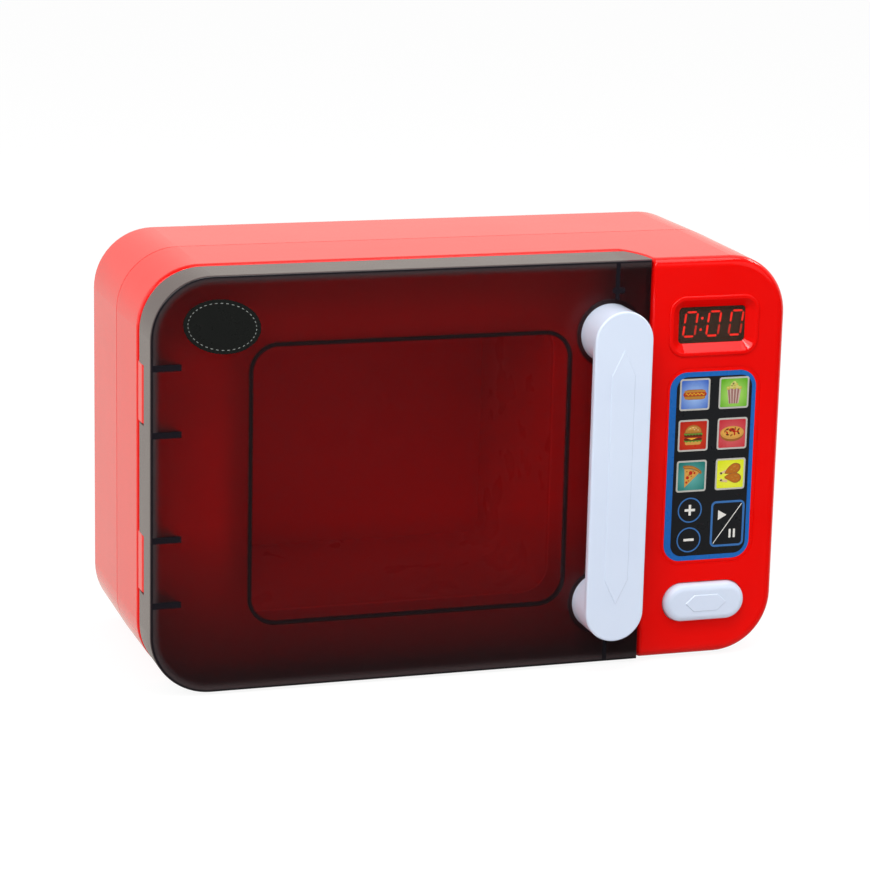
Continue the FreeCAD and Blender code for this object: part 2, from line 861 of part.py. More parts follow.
REAR_INSIDE = "case_depth - case_wall"
BATTERY_SPAN = "3 * battery_pitch + battery_play"
BATTERY_DROP = "battery_length + contact_space"
BATTERY_LEFT = "battery_x - (%s) / 2" % BATTERY_SPAN
BATTERY_RIGHT = "battery_x + (%s) / 2" % BATTERY_SPAN
BATTERY_LOW = "battery_z - (%s) / 2" % BATTERY_DROP
BATTERY_HIGH = "battery_z + (%s) / 2" % BATTERY_DROP
BATTERY_FLOOR = "case_depth - cover_wall - battery_diameter - battery_play"
LEDGE = "case_depth - cover_wall - fit_gap"
COVER_SCREW = [("battery_x", BATTERY_HIGH + " + screw_land / 2")]
SPEAKER_FRONT = REAR_INSIDE + " - speaker_frame"
SPEAKER_SCREWS = [
    ("speaker_x - speaker_diameter / 2 - board_post / 2 - fit_gap", "speaker_z"),
    ("speaker_x + speaker_diameter / 2 + board_post / 2 + fit_gap", "speaker_z"),
]
TABS = ("battery_x - battery_pitch", "battery_x + battery_pitch")


def battery_front(drawing, margin, top="0"):
    """The battery space moved out by a margin, and by more at the top."""
    drawing.box(
        BATTERY_LEFT + " - (%s)" % margin, BATTERY_RIGHT + " + (%s)" % margin,
        BATTERY_LOW + " - (%s)" % margin, BATTERY_HIGH + " + (%s) + (%s)" % (margin, top),
        "cover_corner",
    )


rear_shell = subpart("rear_shell")
drawing = Drawing(rear_shell, BACK, SEAM_REAR)
case_front(drawing, "-seam_growth")
bind(pad(rear_shell, drawing, "case_depth - (%s)" % SEAM_REAR), TaperAngle="-case_draft")
soften(rear_shell, "Fillet", at_depth("case_depth"), Radius="rear_round")
soften(rear_shell, "Chamfer", at_depth(SEAM_REAR), Size="seam_bevel")
drawing = Drawing(rear_shell, BACK, "seam_depth - case_wall")
case_front(drawing, "case_wall")
pocket(rear_shell, drawing, "case_depth - seam_depth")

# a lip that reaches into the front shell
drawing = Drawing(rear_shell, BACK, SEAM_REAR + " + seam_bevel")
case_front(drawing, "case_wall / 2")
case_front(drawing, "case_wall + fit_gap + lip_wall")
pad(rear_shell, drawing, "lip_length")
drawing = Drawing(rear_shell, BACK, "seam_depth - lip_length")
case_front(drawing, "case_wall + fit_gap")
case_front(drawing, "case_wall + fit_gap + lip_wall")
pad(rear_shell, drawing, "lip_length + 2 * seam_bevel")

# tubes of the case screws
posts(rear_shell, LEFT_BOSSES + RIGHT_BOSSES, SEAM_REAR, "case_depth - case_wall / 2", "case_tube")
holes(
    rear_shell, LEFT_BOSSES + RIGHT_BOSSES, "seam_depth - lip_length", "case_depth",
    "screw_diameter + 2 * fit_gap",
)
holes(
    rear_shell, LEFT_BOSSES + RIGHT_BOSSES, "seam_depth + tube_floor", "case_depth + case_wall",
    "screw_head + 4 * fit_gap",
)

# battery box: a ledge for the cover, then the box itself
drawing = Drawing(rear_shell, BACK, LEDGE + " - battery_box_wall")
battery_front(drawing, "cover_ledge + battery_box_wall", "screw_land")
pad(rear_shell, drawing, "cover_wall + battery_box_wall - case_wall / 2")
drawing = Drawing(rear_shell, BACK, BATTERY_FLOOR + " - battery_box_wall")
battery_front(drawing, "battery_box_wall")
pad(rear_shell, drawing, "battery_diameter + battery_box_wall")
posts(rear_shell, COVER_SCREW, LEDGE + " - small_screw_length", LEDGE, "board_post")
drawing = Drawing(rear_shell, BACK, LEDGE)
battery_front(drawing, "cover_ledge + fit_gap", "screw_land")
pocket(rear_shell, drawing, "2 * cover_wall")
drawing = Drawing(rear_shell, BACK, BATTERY_FLOOR)
drawing.box(BATTERY_LEFT, BATTERY_RIGHT, BATTERY_LOW, BATTERY_HIGH)
pocket(rear_shell, drawing, "case_depth - (%s)" % BATTERY_FLOOR)
holes(
    rear_shell, COVER_SCREW, "case_depth - small_screw / 2 - small_screw_length", "case_depth",
    "small_screw + 2 * grip_gap",
)
drawing = Drawing(rear_shell, BACK, LEDGE + " - 2 * tab_wall")
for across in TABS:
    drawing.box(
        across + " - cover_tab / 2 - fit_gap", across + " + cover_tab / 2 + fit_gap",
        BATTERY_LOW + " - cover_ledge - tab_reach - 2 * fit_gap", BATTERY_LOW + " - cover_ledge / 2",
    )
pocket(rear_shell, drawing, "2 * tab_wall + fit_gap / 2")

# speaker: a ring to seat it, posts for its screws, and the grille
drawing = Drawing(rear_shell, BACK, SPEAKER_FRONT)
drawing.circle("speaker_x", "speaker_z", "speaker_diameter + 2 * fit_gap + 2 * speaker_ring")
drawing.circle("speaker_x", "speaker_z", "speaker_diameter + 2 * fit_gap")
pad(rear_shell, drawing, "speaker_frame + case_wall / 2")
posts(rear_shell, SPEAKER_SCREWS, SPEAKER_FRONT, "case_depth - case_wall / 2", "board_post")
holes(
    rear_shell, SPEAKER_SCREWS, SPEAKER_FRONT, SPEAKER_FRONT + " + speaker_screw_length + fit_gap",
    "small_screw + 2 * grip_gap",
)
drawing = Drawing(rear_shell, BACK, REAR_INSIDE + " - fit_gap")
GRILLE_REACH = "(speaker_diameter / 2 - grille_edge)"
GRILLE_ROWS = 3
for step in range(-GRILLE_ROWS, GRILLE_ROWS + 1):
    share = step / (GRILLE_ROWS + 0.5)
    rise = "%.6f * %s" % (share, GRILLE_REACH)
    half = "%.6f * %s" % (math.sqrt(1 - share ** 2), GRILLE_REACH)
    level = "speaker_z + %s" % rise
    drawing.slot(("speaker_x - %s" % half, level), ("speaker_x + %s" % half, level), "grille_hole")
pocket(rear_shell, drawing, "2 * case_wall")
foot(rear_shell, "case_depth - foot_setback")


# ---------------------------------------------------------------- oven chamber

OVEN_FLANGE_FRONT = "recess_back + oven_boss_height"

oven_chamber = subpart("oven_chamber")


def oven_mouth(depth, growth):
    """The oven's mouth grown by a margin, at a depth."""
    drawing = Drawing(oven_chamber, BACK, depth)
    drawing.box(
        "oven_left - (%s)" % growth, "oven_right + (%s)" % growth,
        "oven_bottom - (%s)" % growth, "oven_top + (%s)" % growth, "oven_corner + (%s)" % growth,
    )
    return drawing


outer = pad(
    oven_chamber, oven_mouth("recess_back", "oven_wall + oven_step"),
    "oven_back + oven_wall - recess_back",
)
bind(outer, TaperAngle="-oven_draft")
drawing = Drawing(oven_chamber, BACK, OVEN_FLANGE_FRONT)
drawing.box(
    "oven_left - oven_flange", "oven_right + oven_flange",
    "oven_bottom - oven_flange", "oven_top + oven_flange", "oven_flange / 2",
)
pad(oven_chamber, drawing, "oven_wall")
inner = pocket(oven_chamber, oven_mouth("recess_back", "oven_step"), "oven_back - recess_back")
bind(inner, TaperAngle="-oven_draft")
holes(
    oven_chamber, OVEN_POSTS, OVEN_FLANGE_FRONT, OVEN_FLANGE_FRONT + " + oven_wall",
    "small_screw + 2 * fit_gap",
)


# ---------------------------------------------------------------- door

POST_PLACES = [("handle_x", "handle_low"), ("handle_x", "handle_high")]


def door_front(drawing, inset, right):
    """The door's front view moved in by an inset, up to a right limit."""
    corner = ("case_corner - (%s)" % inset,)
    left, low, high = "case_left + (%s)" % inset, inset, "case_height - (%s)" % inset
    drawing.outline([(left, low) + corner, (right, low), (right, high), (left, high) + corner])


door_space = inner_space("door_space")
drawing = Drawing(door_space, BACK, "door_wall")
door_front(drawing, "door_wall", "door_right")
pad(door_space, drawing, "door_depth")
drawing = Drawing(door_space, UP, "-door_wall")
drawing.flank("-door_wall", "0", "door_depth + 2 * door_wall", "2 * door_right")
pocket(door_space, drawing, "case_height + 2 * door_wall")

door_panel = subpart("door_panel")
drawing = Drawing(door_panel, BACK)
door_front(drawing, "0", "door_right + door_wall")
pad(door_panel, drawing, "door_depth")
drawing = Drawing(door_panel, UP, "-door_wall")
drawing.flank("0", "-door_wall", "door_depth + door_wall", "2 * door_right")
pocket(door_panel, drawing, "case_height + 2 * door_wall")
soften(door_panel, "Fillet", at_depth("0"), Radius="door_front_round")
left_side = value("door_right - flank_bend") + NEAR
at_rear = at_depth("door_depth")
soften(
    door_panel, "Fillet", lambda edge: at_rear(edge) and edge.BoundBox.XMin < left_side,
    Radius="door_rear_round",
)
cut_space(door_panel, door_space)

# notches in the left wall for the knuckles, with an ear above and below each
for hinge in HINGES:
    half = "knuckle_height / 2 + hinge_gap"
    drawing = Drawing(door_panel, UP, "%s - (%s)" % (hinge, half))
    drawing.box(
        "2 * case_left", "hinge_x + knuckle_radius + hinge_gap",
        "hinge_y - knuckle_radius - notch_gap", "door_depth + door_wall",
    )
    pocket(door_panel, drawing, "2 * (%s)" % half)
for hinge in HINGES:
    for low in ("%s + knuckle_height / 2 + hinge_gap", "%s - knuckle_height / 2 - hinge_gap - ear_wall"):
        drawing = Drawing(door_panel, UP, low % hinge)
        near, far = "case_left + door_wall / 4", "hinge_x + ear_radius"
        drawing.outline([
            (near, "door_wall / 2"), ("case_left + ear_reach", "door_wall / 2"),
            (far, "hinge_y"), (far, "hinge_y + ear_radius", "ear_round"),
            (near, "hinge_y + ear_radius", "ear_round"),
        ])
        pad(door_panel, drawing, "ear_wall")
    drawing = Drawing(door_panel, UP, "%s - knuckle_height" % hinge)
    drawing.circle("hinge_x", "hinge_y", "pin_diameter + 2 * running_gap")
    pocket(door_panel, drawing, "2 * knuckle_height")

# the catch tongue, which reaches through the slot
drawing = Drawing(door_panel, UP, "button_z - tongue_height / 2")
TONGUE_FACE = "tongue_x + tongue_wall"
HOOK_FRONT = "tongue_reach - tongue_hook"
drawing.outline([
    ("tongue_x", "door_wall / 2"), (TONGUE_FACE, "door_wall / 2"),
    (TONGUE_FACE, "recess_back"), (TONGUE_FACE + " - tongue_notch", "recess_back + tongue_notch"),
    (TONGUE_FACE + " - tongue_notch", HOOK_FRONT), (TONGUE_FACE, HOOK_FRONT),
    (TONGUE_FACE, HOOK_FRONT + " + tongue_notch"), ("tongue_x + tongue_notch", "tongue_reach"),
    ("tongue_x", "tongue_reach"),
])
pad(door_panel, drawing, "tongue_height")

# seats and screw bosses of the handle, and the groove round the window
posts(door_panel, POST_PLACES, "door_wall / 2", "door_wall + handle_boss_height", "handle_boss")
holes(door_panel, POST_PLACES, "-door_wall", "handle_seat", "handle_width + 2 * handle_seat_edge")
holes(
    door_panel, POST_PLACES, "-door_wall", "door_wall + handle_boss_height + door_wall",
    "screw_diameter + 2 * fit_gap",
)


def window_front(drawing, growth):
    drawing.box(
        "window_left - (%s)" % growth, "window_right + (%s)" % growth,
        "window_bottom - (%s)" % growth, "window_top + (%s)" % growth, "window_corner + (%s)" % growth,
    )


drawing = Drawing(door_panel, BACK, "door_wall - window_groove_depth")
window_front(drawing, "window_groove / 2")
window_front(drawing, "-window_groove / 2")
pocket(door_panel, drawing, "2 * window_groove_depth")


# ---------------------------------------------------------------- handle and badge

door_handle = subpart("door_handle")
BAR_FRONT = "mark_rise - handle_reach"
drawing = Drawing(door_handle, BACK, BAR_FRONT)
drawing.slot(*POST_PLACES, "handle_width")
pad(door_handle, drawing, "handle_bar")
soften(door_handle, "Fillet", at_depth(BAR_FRONT), Radius="handle_round")
posts(door_handle, POST_PLACES, BAR_FRONT + " + handle_bar / 2", "handle_seat", "handle_width")
MARK_MIDDLE = "(handle_low + handle_high) / 2"


def raised_mark(body, front, across, up, sizes, upright):
    """An elongated hexagon that stands forward with sloping sides, upright or lying."""
    width, length, point = sizes
    half, reach = "(%s / 2 - mark_rise)" % width, "(%s / 2 - mark_rise)" % length
    spots = [
        ("0", "-%s" % reach), (half, "-%s + %s" % (reach, point)), (half, "%s - %s" % (reach, point)),
        ("0", reach), ("-" + half, "%s - %s" % (reach, point)), ("-" + half, "-%s + %s" % (reach, point)),
    ]
    if not upright:
        spots = [(second, first) for first, second in reversed(spots)]
    drawing = Drawing(body, BACK, front)
    drawing.outline([("%s + %s" % (across, first), "%s + %s" % (up, second)) for first, second in spots])
    bind(pad(body, drawing, "2 * mark_rise"), TaperAngle="mark_slope")


raised_mark(
    door_handle, "-handle_reach", "handle_x", MARK_MIDDLE,
    ("handle_mark_width", "handle_mark_length", "handle_mark_point"), True)
holes(
    door_handle, POST_PLACES, "door_wall + handle_boss_height - handle_screw_length", "handle_seat",
    "screw_diameter + 2 * grip_gap",
)

badge_line = doc.addObject("Part::Ellipse", "badge_outline")
bind(badge_line, MajorRadius="badge_width / 2", MinorRadius="badge_height / 2")
door_badge = doc.addObject("Part::Extrusion", "door_badge")
door_badge.Label = "door_badge"
door_badge.Base = badge_line
door_badge.DirMode = "Custom"
door_badge.Dir = FreeCAD.Vector(0, 0, 1)
door_badge.Solid = True
bind(door_badge, LengthFwd="badge_thickness")
tilt = FreeCAD.Rotation(FreeCAD.Vector(0, 1, 0), value("badge_tilt"))
door_badge.Placement.Rotation = tilt.multiply(FreeCAD.Rotation(FreeCAD.Vector(1, 0, 0), 90))
place(door_badge, "badge_x", "badge_z")
subparts.append(door_badge)


# ---------------------------------------------------------------- display, film and keys

display_lens = subpart("display_lens", "display_x", "display_z")
drawing = Drawing(display_lens, BACK, "display_depth + seat_lip")
drawing.plate("0", "0", "glass_width + 2 * glass_edge", "glass_height + 2 * glass_edge", "glass_corner")
pad(display_lens, drawing, "glass_thickness")

display_module = subpart("display_module", "display_x", "display_z")
drawing = Drawing(display_module, BACK, "display_depth + seat_lip + glass_thickness + fit_gap")
drawing.plate("0", "0", "digits_width", "digits_height")
pad(display_module, drawing, "board_front - display_depth - seat_lip - glass_thickness - fit_gap")

keypad_film = subpart("keypad_film", "keypad_x", "keypad_z")
drawing = Drawing(keypad_film, BACK)
drawing.plate("0", "0", "keypad_width", "keypad_height", "keypad_corner")
pad(keypad_film, drawing, "film_thickness")

for name, (across, up) in KEYS.items():
    key = subpart(name, across, up)
    drawing = Drawing(key, BACK, "film_thickness")
    key_front(drawing, name, "0", "0", "0")
    pad(key, drawing, "case_wall - film_thickness + key_free_play + key_lip_wall")
    drawing = Drawing(key, BACK, "case_wall + key_free_play")
    key_front(drawing, name, "key_lip", "0", "0")
    pad(key, drawing, "key_lip_wall")
    stalk_end = "board_front - switch_body - switch_nib - key_travel - key_free_play"
    posts(key, [("0", "0")], "case_wall", stalk_end, "stalk_diameter")


# ---------------------------------------------------------------- release button and latch

release_button = subpart("release_button", "button_x", "button_z")
CAP_ENDS = (
    ("-(button_width - button_height) / 2", "0"), ("(button_width - button_height) / 2", "0"),
)
drawing = Drawing(release_button, BACK, "-button_rise")
drawing.slot(*CAP_ENDS, "button_height")
pad(release_button, drawing, "button_rise + button_depth")
soften(release_button, "Fillet", at_depth("-button_rise"), Radius="button_round")
drawing = Drawing(release_button, BACK, "case_wall + key_free_play")
drawing.slot(*CAP_ENDS, "button_height + 2 * button_lip")
pad(release_button, drawing, "button_lip_wall")
posts(release_button, [("0", "0")], "button_depth / 2", "pivot_y", "stem_diameter")
drawing = Drawing(release_button, UP, "-cross_length / 2")
drawing.circle("0", "pivot_y", "cross_diameter")
pad(release_button, drawing, "cross_length")
raised_mark(
    release_button, "-button_rise - mark_rise", "0", "0",
    ("button_mark_height", "button_mark_width", "button_mark_point"), False)

latch_bracket = subpart("latch_bracket")
LUG_LOW = "button_z - lever_height / 2 - lug_gap - lug_wall"
LUG_HIGH = "button_z + lever_height / 2 + lug_gap"
PLATE_LOW = LUG_LOW + " - lug_wall / 2"
drawing = Drawing(latch_bracket, BACK, "bracket_front")
drawing.outline([
    ("bracket_left", PLATE_LOW), ("button_x - bracket_post", PLATE_LOW),
    ("button_x - bracket_post", "bracket_bottom"), ("button_x + bracket_post", "bracket_bottom"),
    ("button_x + bracket_post", PLATE_LOW), ("bracket_right", PLATE_LOW, "bracket_post"),
    ("bracket_right", "bracket_top", "bracket_round"),
    ("bracket_left", "bracket_top", "bracket_round"),
])
pad(latch_bracket, drawing, "bracket_wall")
for low in (LUG_LOW, LUG_HIGH):
    drawing = Drawing(latch_bracket, UP, low)
    left, right = "pivot_x - lug_radius", "pivot_x + lug_radius"
    drawing.outline([
        (left, "bracket_front + bracket_wall / 2"), (right, "bracket_front + bracket_wall / 2"),
        (right, "pivot_y + lug_radius", "lug_round"),
        (left, "pivot_y + lug_radius", "lug_round"),
    ])
    pad(latch_bracket, drawing, "lug_wall")
drawing = Drawing(latch_bracket, UP, LUG_LOW + " - lug_wall")
drawing.circle("pivot_x", "pivot_y", "pin_diameter + 2 * grip_gap")
pocket(latch_bracket, drawing, "lever_height + 6 * lug_wall")
holes(
    latch_bracket, [("button_x", "button_z")], "bracket_front - bracket_wall",
    "bracket_front + 2 * bracket_wall", "stem_diameter + 2 * running_gap",
)
holes(
    latch_bracket, BRACKET_POSTS, "bracket_front - bracket_wall",
    "bracket_front + 2 * bracket_wall", "small_screw + 2 * fit_gap",
)

latch_lever = subpart("latch_lever")
FORK = "cross_diameter / 2 + fit_gap / 2"
NOSE_X = TONGUE_FACE + " + nose_gap"
NOSE_Y = "recess_back + nose_setback"
drawing = Drawing(latch_lever, UP, "button_z - lever_height / 2")
fork_front = "pivot_y - (%s) - fork_wall" % FORK
fork_rear = "pivot_y + (%s) + fork_wall" % FORK
arm_end = "button_x + lever_reach"
drawing.outline([
    (NOSE_X, NOSE_Y + " + nose_bevel"), (NOSE_X + " + nose_width", NOSE_Y),
    ("pivot_x", fork_front), (arm_end, fork_front),
    (arm_end, "pivot_y - (%s)" % FORK), ("button_x - cross_diameter", "pivot_y - (%s)" % FORK),
    ("button_x - cross_diameter", "pivot_y + (%s)" % FORK), (arm_end, "pivot_y + (%s)" % FORK),
    (arm_end, fork_rear), ("pivot_x", fork_rear), ("pivot_x - lug_radius", "pivot_y"),
    (NOSE_X + " + nose_length", NOSE_Y + " + nose_length + nose_heel"), (NOSE_X, NOSE_Y + " + nose_length"),
])
pad(latch_lever, drawing, "lever_height")
drawing = Drawing(latch_lever, UP, "button_z - lever_height")
drawing.circle("pivot_x", "pivot_y", "pin_diameter + 2 * running_gap")
pocket(latch_lever, drawing, "2 * lever_height")
drawing = Drawing(latch_lever, BACK, fork_front + " - fork_wall")
drawing.box(
    "button_x - stem_diameter / 2 - 3 * fit_gap", arm_end + " + lever_reach",
    "button_z - stem_diameter / 2 - 2 * fit_gap", "button_z + stem_diameter / 2 + 2 * fit_gap",
)
pocket(latch_lever, drawing, "2 * fork_wall + (%s)" % FORK)


def pin(label, across, back, low, high, head="0"):
    """An upright pin between two levels, with a head on top if one is given."""
    body = subpart(label)
    drawing = Drawing(body, UP, low)
    drawing.circle(across, back, "pin_diameter")
    pad(body, drawing, "%s - (%s)" % (high, low))
    if head != "0":
        drawing = Drawing(body, UP, high)
        drawing.circle(across, back, "pin_diameter + 2 * (%s)" % head)
        pad(body, drawing, head)
    return body


pin("latch_pin", "pivot_x", "pivot_y", LUG_LOW + " - pin_head", LUG_HIGH + " + lug_wall", "pin_head")
for label, hinge in (("hinge_pin_lower", "hinge_low"), ("hinge_pin_upper", "hinge_high")):
    reach = "knuckle_height / 2 + hinge_gap + ear_wall"
    pin(
        label, "hinge_x", "hinge_y", "%s - (%s) - pin_head" % (hinge, reach),
        "%s + %s" % (hinge, reach), "pin_head",
    )

SPRING_FRONT, SPRING_REAR = "button_depth", "bracket_front"
coil_line = doc.addObject("Part::Helix", "coil_line")
bind(
    coil_line, Pitch="spring_pitch", Radius="spring_coil / 2 - spring_wire / 2",
    Height="%s - %s - spring_wire - 2 * fit_gap" % (SPRING_REAR, SPRING_FRONT),
)
coil_section = doc.addObject("Part::RegularPolygon", "coil_section")
coil_section.Polygon = 6
bind(coil_section, Circumradius="spring_wire / 2", Placement__Base__x="spring_coil / 2 - spring_wire / 2")
coil_section.Placement.Rotation = FreeCAD.Rotation(FreeCAD.Vector(1, 0, 0), 90)
button_spring = doc.addObject("Part::Sweep", "button_spring")
button_spring.Label = "button_spring"
button_spring.Sections = [coil_section]
button_spring.Spine = (coil_line, [])
button_spring.Solid = True
button_spring.Frenet = True
button_spring.Placement.Rotation = FreeCAD.Rotation(FreeCAD.Vector(1, 0, 0), -90)
bind(
    button_spring, Placement__Base__x="button_x",
    Placement__Base__y="(handle_reach - case_depth) / 2 + %s + spring_wire / 2 + fit_gap" % SPRING_FRONT,
    Placement__Base__z="foot_height + button_z",
)
subparts.append(button_spring)


# ---------------------------------------------------------------- board and switches

main_board = subpart("main_board")
drawing = Drawing(main_board, BACK, "board_front")
drawing.box("board_left", "board_right", "board_bottom", "board_top")
pad(main_board, drawing, "board_thickness")
holes(
    main_board, BOARD_POSTS, "board_front - board_thickness", "board_front + 2 * board_thickness",
    "small_screw + 2 * fit_gap",
)


def compound(label, pieces):
    """Several like pieces that make one sub-part."""
    group = doc.addObject("Part::Compound", label)
    group.Label = label
    group.Links = pieces
    place(group)
    subparts.append(group)
    return group


def rod(name, across, up, front, length, diameter):
    """A cylinder along the depth."""
    made = doc.addObject("Part::Cylinder", name)
    made.Placement.Rotation = FreeCAD.Rotation(FreeCAD.Vector(1, 0, 0), -90)
    bind(
        made, Radius="(%s) / 2" % diameter, Height=length,
        Placement__Base__x=across, Placement__Base__y=front, Placement__Base__z=up,
    )
    return made


def block(name, left, front, low, width, depth, height):
    """A box from its lowest corner and its sizes."""
    made = doc.addObject("Part::Box", name)
    bind(
        made, Length=width, Width=depth, Height=height,
        Placement__Base__x=left, Placement__Base__y=front, Placement__Base__z=low,
    )
    return made


def joined(name, pieces):
    made = doc.addObject("Part::MultiFuse", name)
    made.Shapes = pieces
    return made


switches = []
for name, (across, up) in KEYS.items():
    half = "switch_size / 2"
    switches.append(joined(name + "_switch", [
        block(
            name + "_switch_body", "%s - %s" % (across, half), "board_front - switch_body",
            "%s - %s" % (up, half), "switch_size", "switch_body", "switch_size",
        ),
        rod(
            name + "_switch_nib", across, up, "board_front - switch_body - switch_nib",
            "switch_nib + switch_body / 2", "switch_stem",
        ),
    ]))
compound("key_switches", switches)


# ---------------------------------------------------------------- speaker

speaker = subpart("speaker", "speaker_x", "speaker_z")
drawing = Drawing(speaker, ACROSS)
drawing.outline([
    (REAR_INSIDE, "0"), (REAR_INSIDE, "speaker_diameter / 2"),
    (SPEAKER_FRONT, "speaker_diameter / 2"),
    (SPEAKER_FRONT, "speaker_diameter / 2 - speaker_flange"),
    (REAR_INSIDE + " - speaker_depth", "speaker_magnet / 2 + speaker_frame"),
    (REAR_INSIDE + " - speaker_depth", "speaker_magnet / 2"),
    (REAR_INSIDE + " - speaker_depth - speaker_magnet_depth", "speaker_magnet / 2"),
    (REAR_INSIDE + " - speaker_depth - speaker_magnet_depth", "0"),
])
revolve(speaker, drawing, "H_Axis")


# ---------------------------------------------------------------- batteries' contacts and cover

battery_cover = subpart("battery_cover")
drawing = Drawing(battery_cover, BACK, "case_depth - cover_wall")
battery_front(drawing, "cover_ledge", "screw_land")
pad(battery_cover, drawing, "cover_wall")
drawing = Drawing(battery_cover, BACK, LEDGE + " - tab_wall")
for across in TABS:
    drawing.box(
        across + " - cover_tab / 2", across + " + cover_tab / 2",
        BATTERY_LOW + " - cover_ledge - tab_reach", BATTERY_LOW + " - cover_ledge / 2 - fit_gap",
    )
pad(battery_cover, drawing, "tab_wall")
drawing = Drawing(battery_cover, BACK, LEDGE + " - tab_wall")
for across in TABS:
    drawing.box(
        across + " - cover_tab / 2", across + " + cover_tab / 2",
        BATTERY_LOW + " - cover_ledge + fit_gap", BATTERY_LOW + " - cover_ledge / 2 - fit_gap",
    )
pad(battery_cover, drawing, "tab_wall + cover_wall / 2")
holes(
    battery_cover, COVER_SCREW, "case_depth - 2 * cover_wall", "case_depth + cover_wall",
    "small_screw + 2 * fit_gap",
)
holes(
    battery_cover, COVER_SCREW, "case_depth - small_screw / 2", "case_depth + cover_wall",
    "small_screw_head + 2 * fit_gap",
)

CONTACT_FRONT = BATTERY_FLOOR + " + battery_diameter / 2 - contact_width / 2"
CONTACT_REAR = CONTACT_FRONT + " + contact_width"
plates, leaves = [], []
for number in (1, 2, 3):
    left = "battery_x + %d * battery_pitch - contact_width / 2" % (number - 2)
    leaf_end, way = (BATTERY_LOW, "+") if number != 2 else (BATTERY_HIGH, "-")
    plate_low = BATTERY_LOW if number == 2 else BATTERY_HIGH + " - contact_wall"
    plates.append(block(
        "plate_%d" % number, left, CONTACT_FRONT, plate_low,
        "contact_width", "contact_width", "contact_wall"))
    leaf = inner_space("leaf_%d" % number)
    drawing = Drawing(leaf, ACROSS, left)
    middle = BATTERY_FLOOR + " + battery_diameter / 2"
    drawing.outline([
        (back, "%s %s (%s)" % (leaf_end, way, rise))
        for back, rise in (
            (CONTACT_FRONT, "0"), (CONTACT_REAR, "0"), (middle, "contact_bow"),
            (CONTACT_FRONT + " + 2 * contact_wall", "contact_bow / 2"),
            (CONTACT_FRONT + " + 3 * contact_wall", "contact_bow / 2 - contact_wall"),
            (middle, "contact_bow - 1.5 * contact_wall"),
            (CONTACT_REAR + " - 4 * contact_wall", "contact_wall"), (CONTACT_FRONT, "contact_wall"),
        )
    ])
    pad(leaf, drawing, "contact_width")
    leaves.append(leaf)
compound("battery_plates", plates)
compound("battery_springs", leaves)


# ---------------------------------------------------------------- screws

def screws(label, places, seat, length, shank, head, height, forwards=True):
    """Pan head screws whose heads sit on a seat, with their shanks forwards or backwards."""
    tip, top = (length, "0") if forwards else (height + " / 2", height)
    pieces = []
    for number, (across, up) in enumerate(places, start=1):
        name = "%s_%d" % (label, number)
        pieces.append(joined(name, [
            rod(
                name + "_shank", across, up, "%s - (%s)" % (seat, tip),
                "%s + (%s) / 2" % (length, height), shank,
            ),
            rod(name + "_head", across, up, "%s - (%s)" % (seat, top), height, head),
        ]))
    if len(pieces) > 1:
        compound(label, pieces)
        return
    pieces[0].Label = label
    place(pieces[0])
    subparts.append(pieces[0])


LARGE = ("screw_diameter", "screw_head", "screw_head_height")
SMALL = ("small_screw", "small_screw_head", "small_screw / 2")
screws(
    "case_screws", LEFT_BOSSES + RIGHT_BOSSES, "seam_depth + tube_floor",
    "case_screw_length - fit_gap", *LARGE)
screws(
    "handle_screws", POST_PLACES, "door_wall + handle_boss_height",
    "handle_screw_length - fit_gap", *LARGE)
screws("oven_screws", OVEN_POSTS, OVEN_FLANGE_FRONT + " + oven_wall", "small_screw_length - fit_gap", *SMALL)
screws("board_screws", BOARD_POSTS, "board_front + board_thickness", "small_screw_length - fit_gap", *SMALL)
screws(
    "bracket_screws", BRACKET_POSTS, "bracket_front + bracket_wall",
    "small_screw_length - fit_gap", *SMALL)
screws(
    "speaker_screws", SPEAKER_SCREWS, SPEAKER_FRONT, "speaker_screw_length",
    "small_screw", "speaker_washer", "small_screw / 2", forwards=False)
screws(
    "battery_cover_screw", COVER_SCREW, "case_depth - small_screw / 2",
    "small_screw_length - fit_gap", *SMALL)


# ---------------------------------------------------------------- check and write

doc.recompute()
failed = [item.Name for item in doc.Objects if "Invalid" in item.State or "Error" in item.State]
if failed:
    raise RuntimeError("failed: " + ", ".join(failed))
for item in doc.Objects:
    if item.TypeId in ("PartDesign::Pocket", "PartDesign::Boolean"):
        if item.BaseFeature and not item.Shape.Volume < item.BaseFeature.Shape.Volume:
            raise RuntimeError(item.Name + " cuts nothing")
for item in subparts:
    if item.Shape.isNull() or not item.Shape.isValid() or not item.Shape.Solids:
        raise RuntimeError(item.Label + " has no valid solid")

os.makedirs("parts", exist_ok=True)
for item in subparts:
    item.Shape.exportStep("parts/%s.step" % item.Label)
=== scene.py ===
import json
import math

import bmesh
import bpy
from mathutils import Matrix, Vector


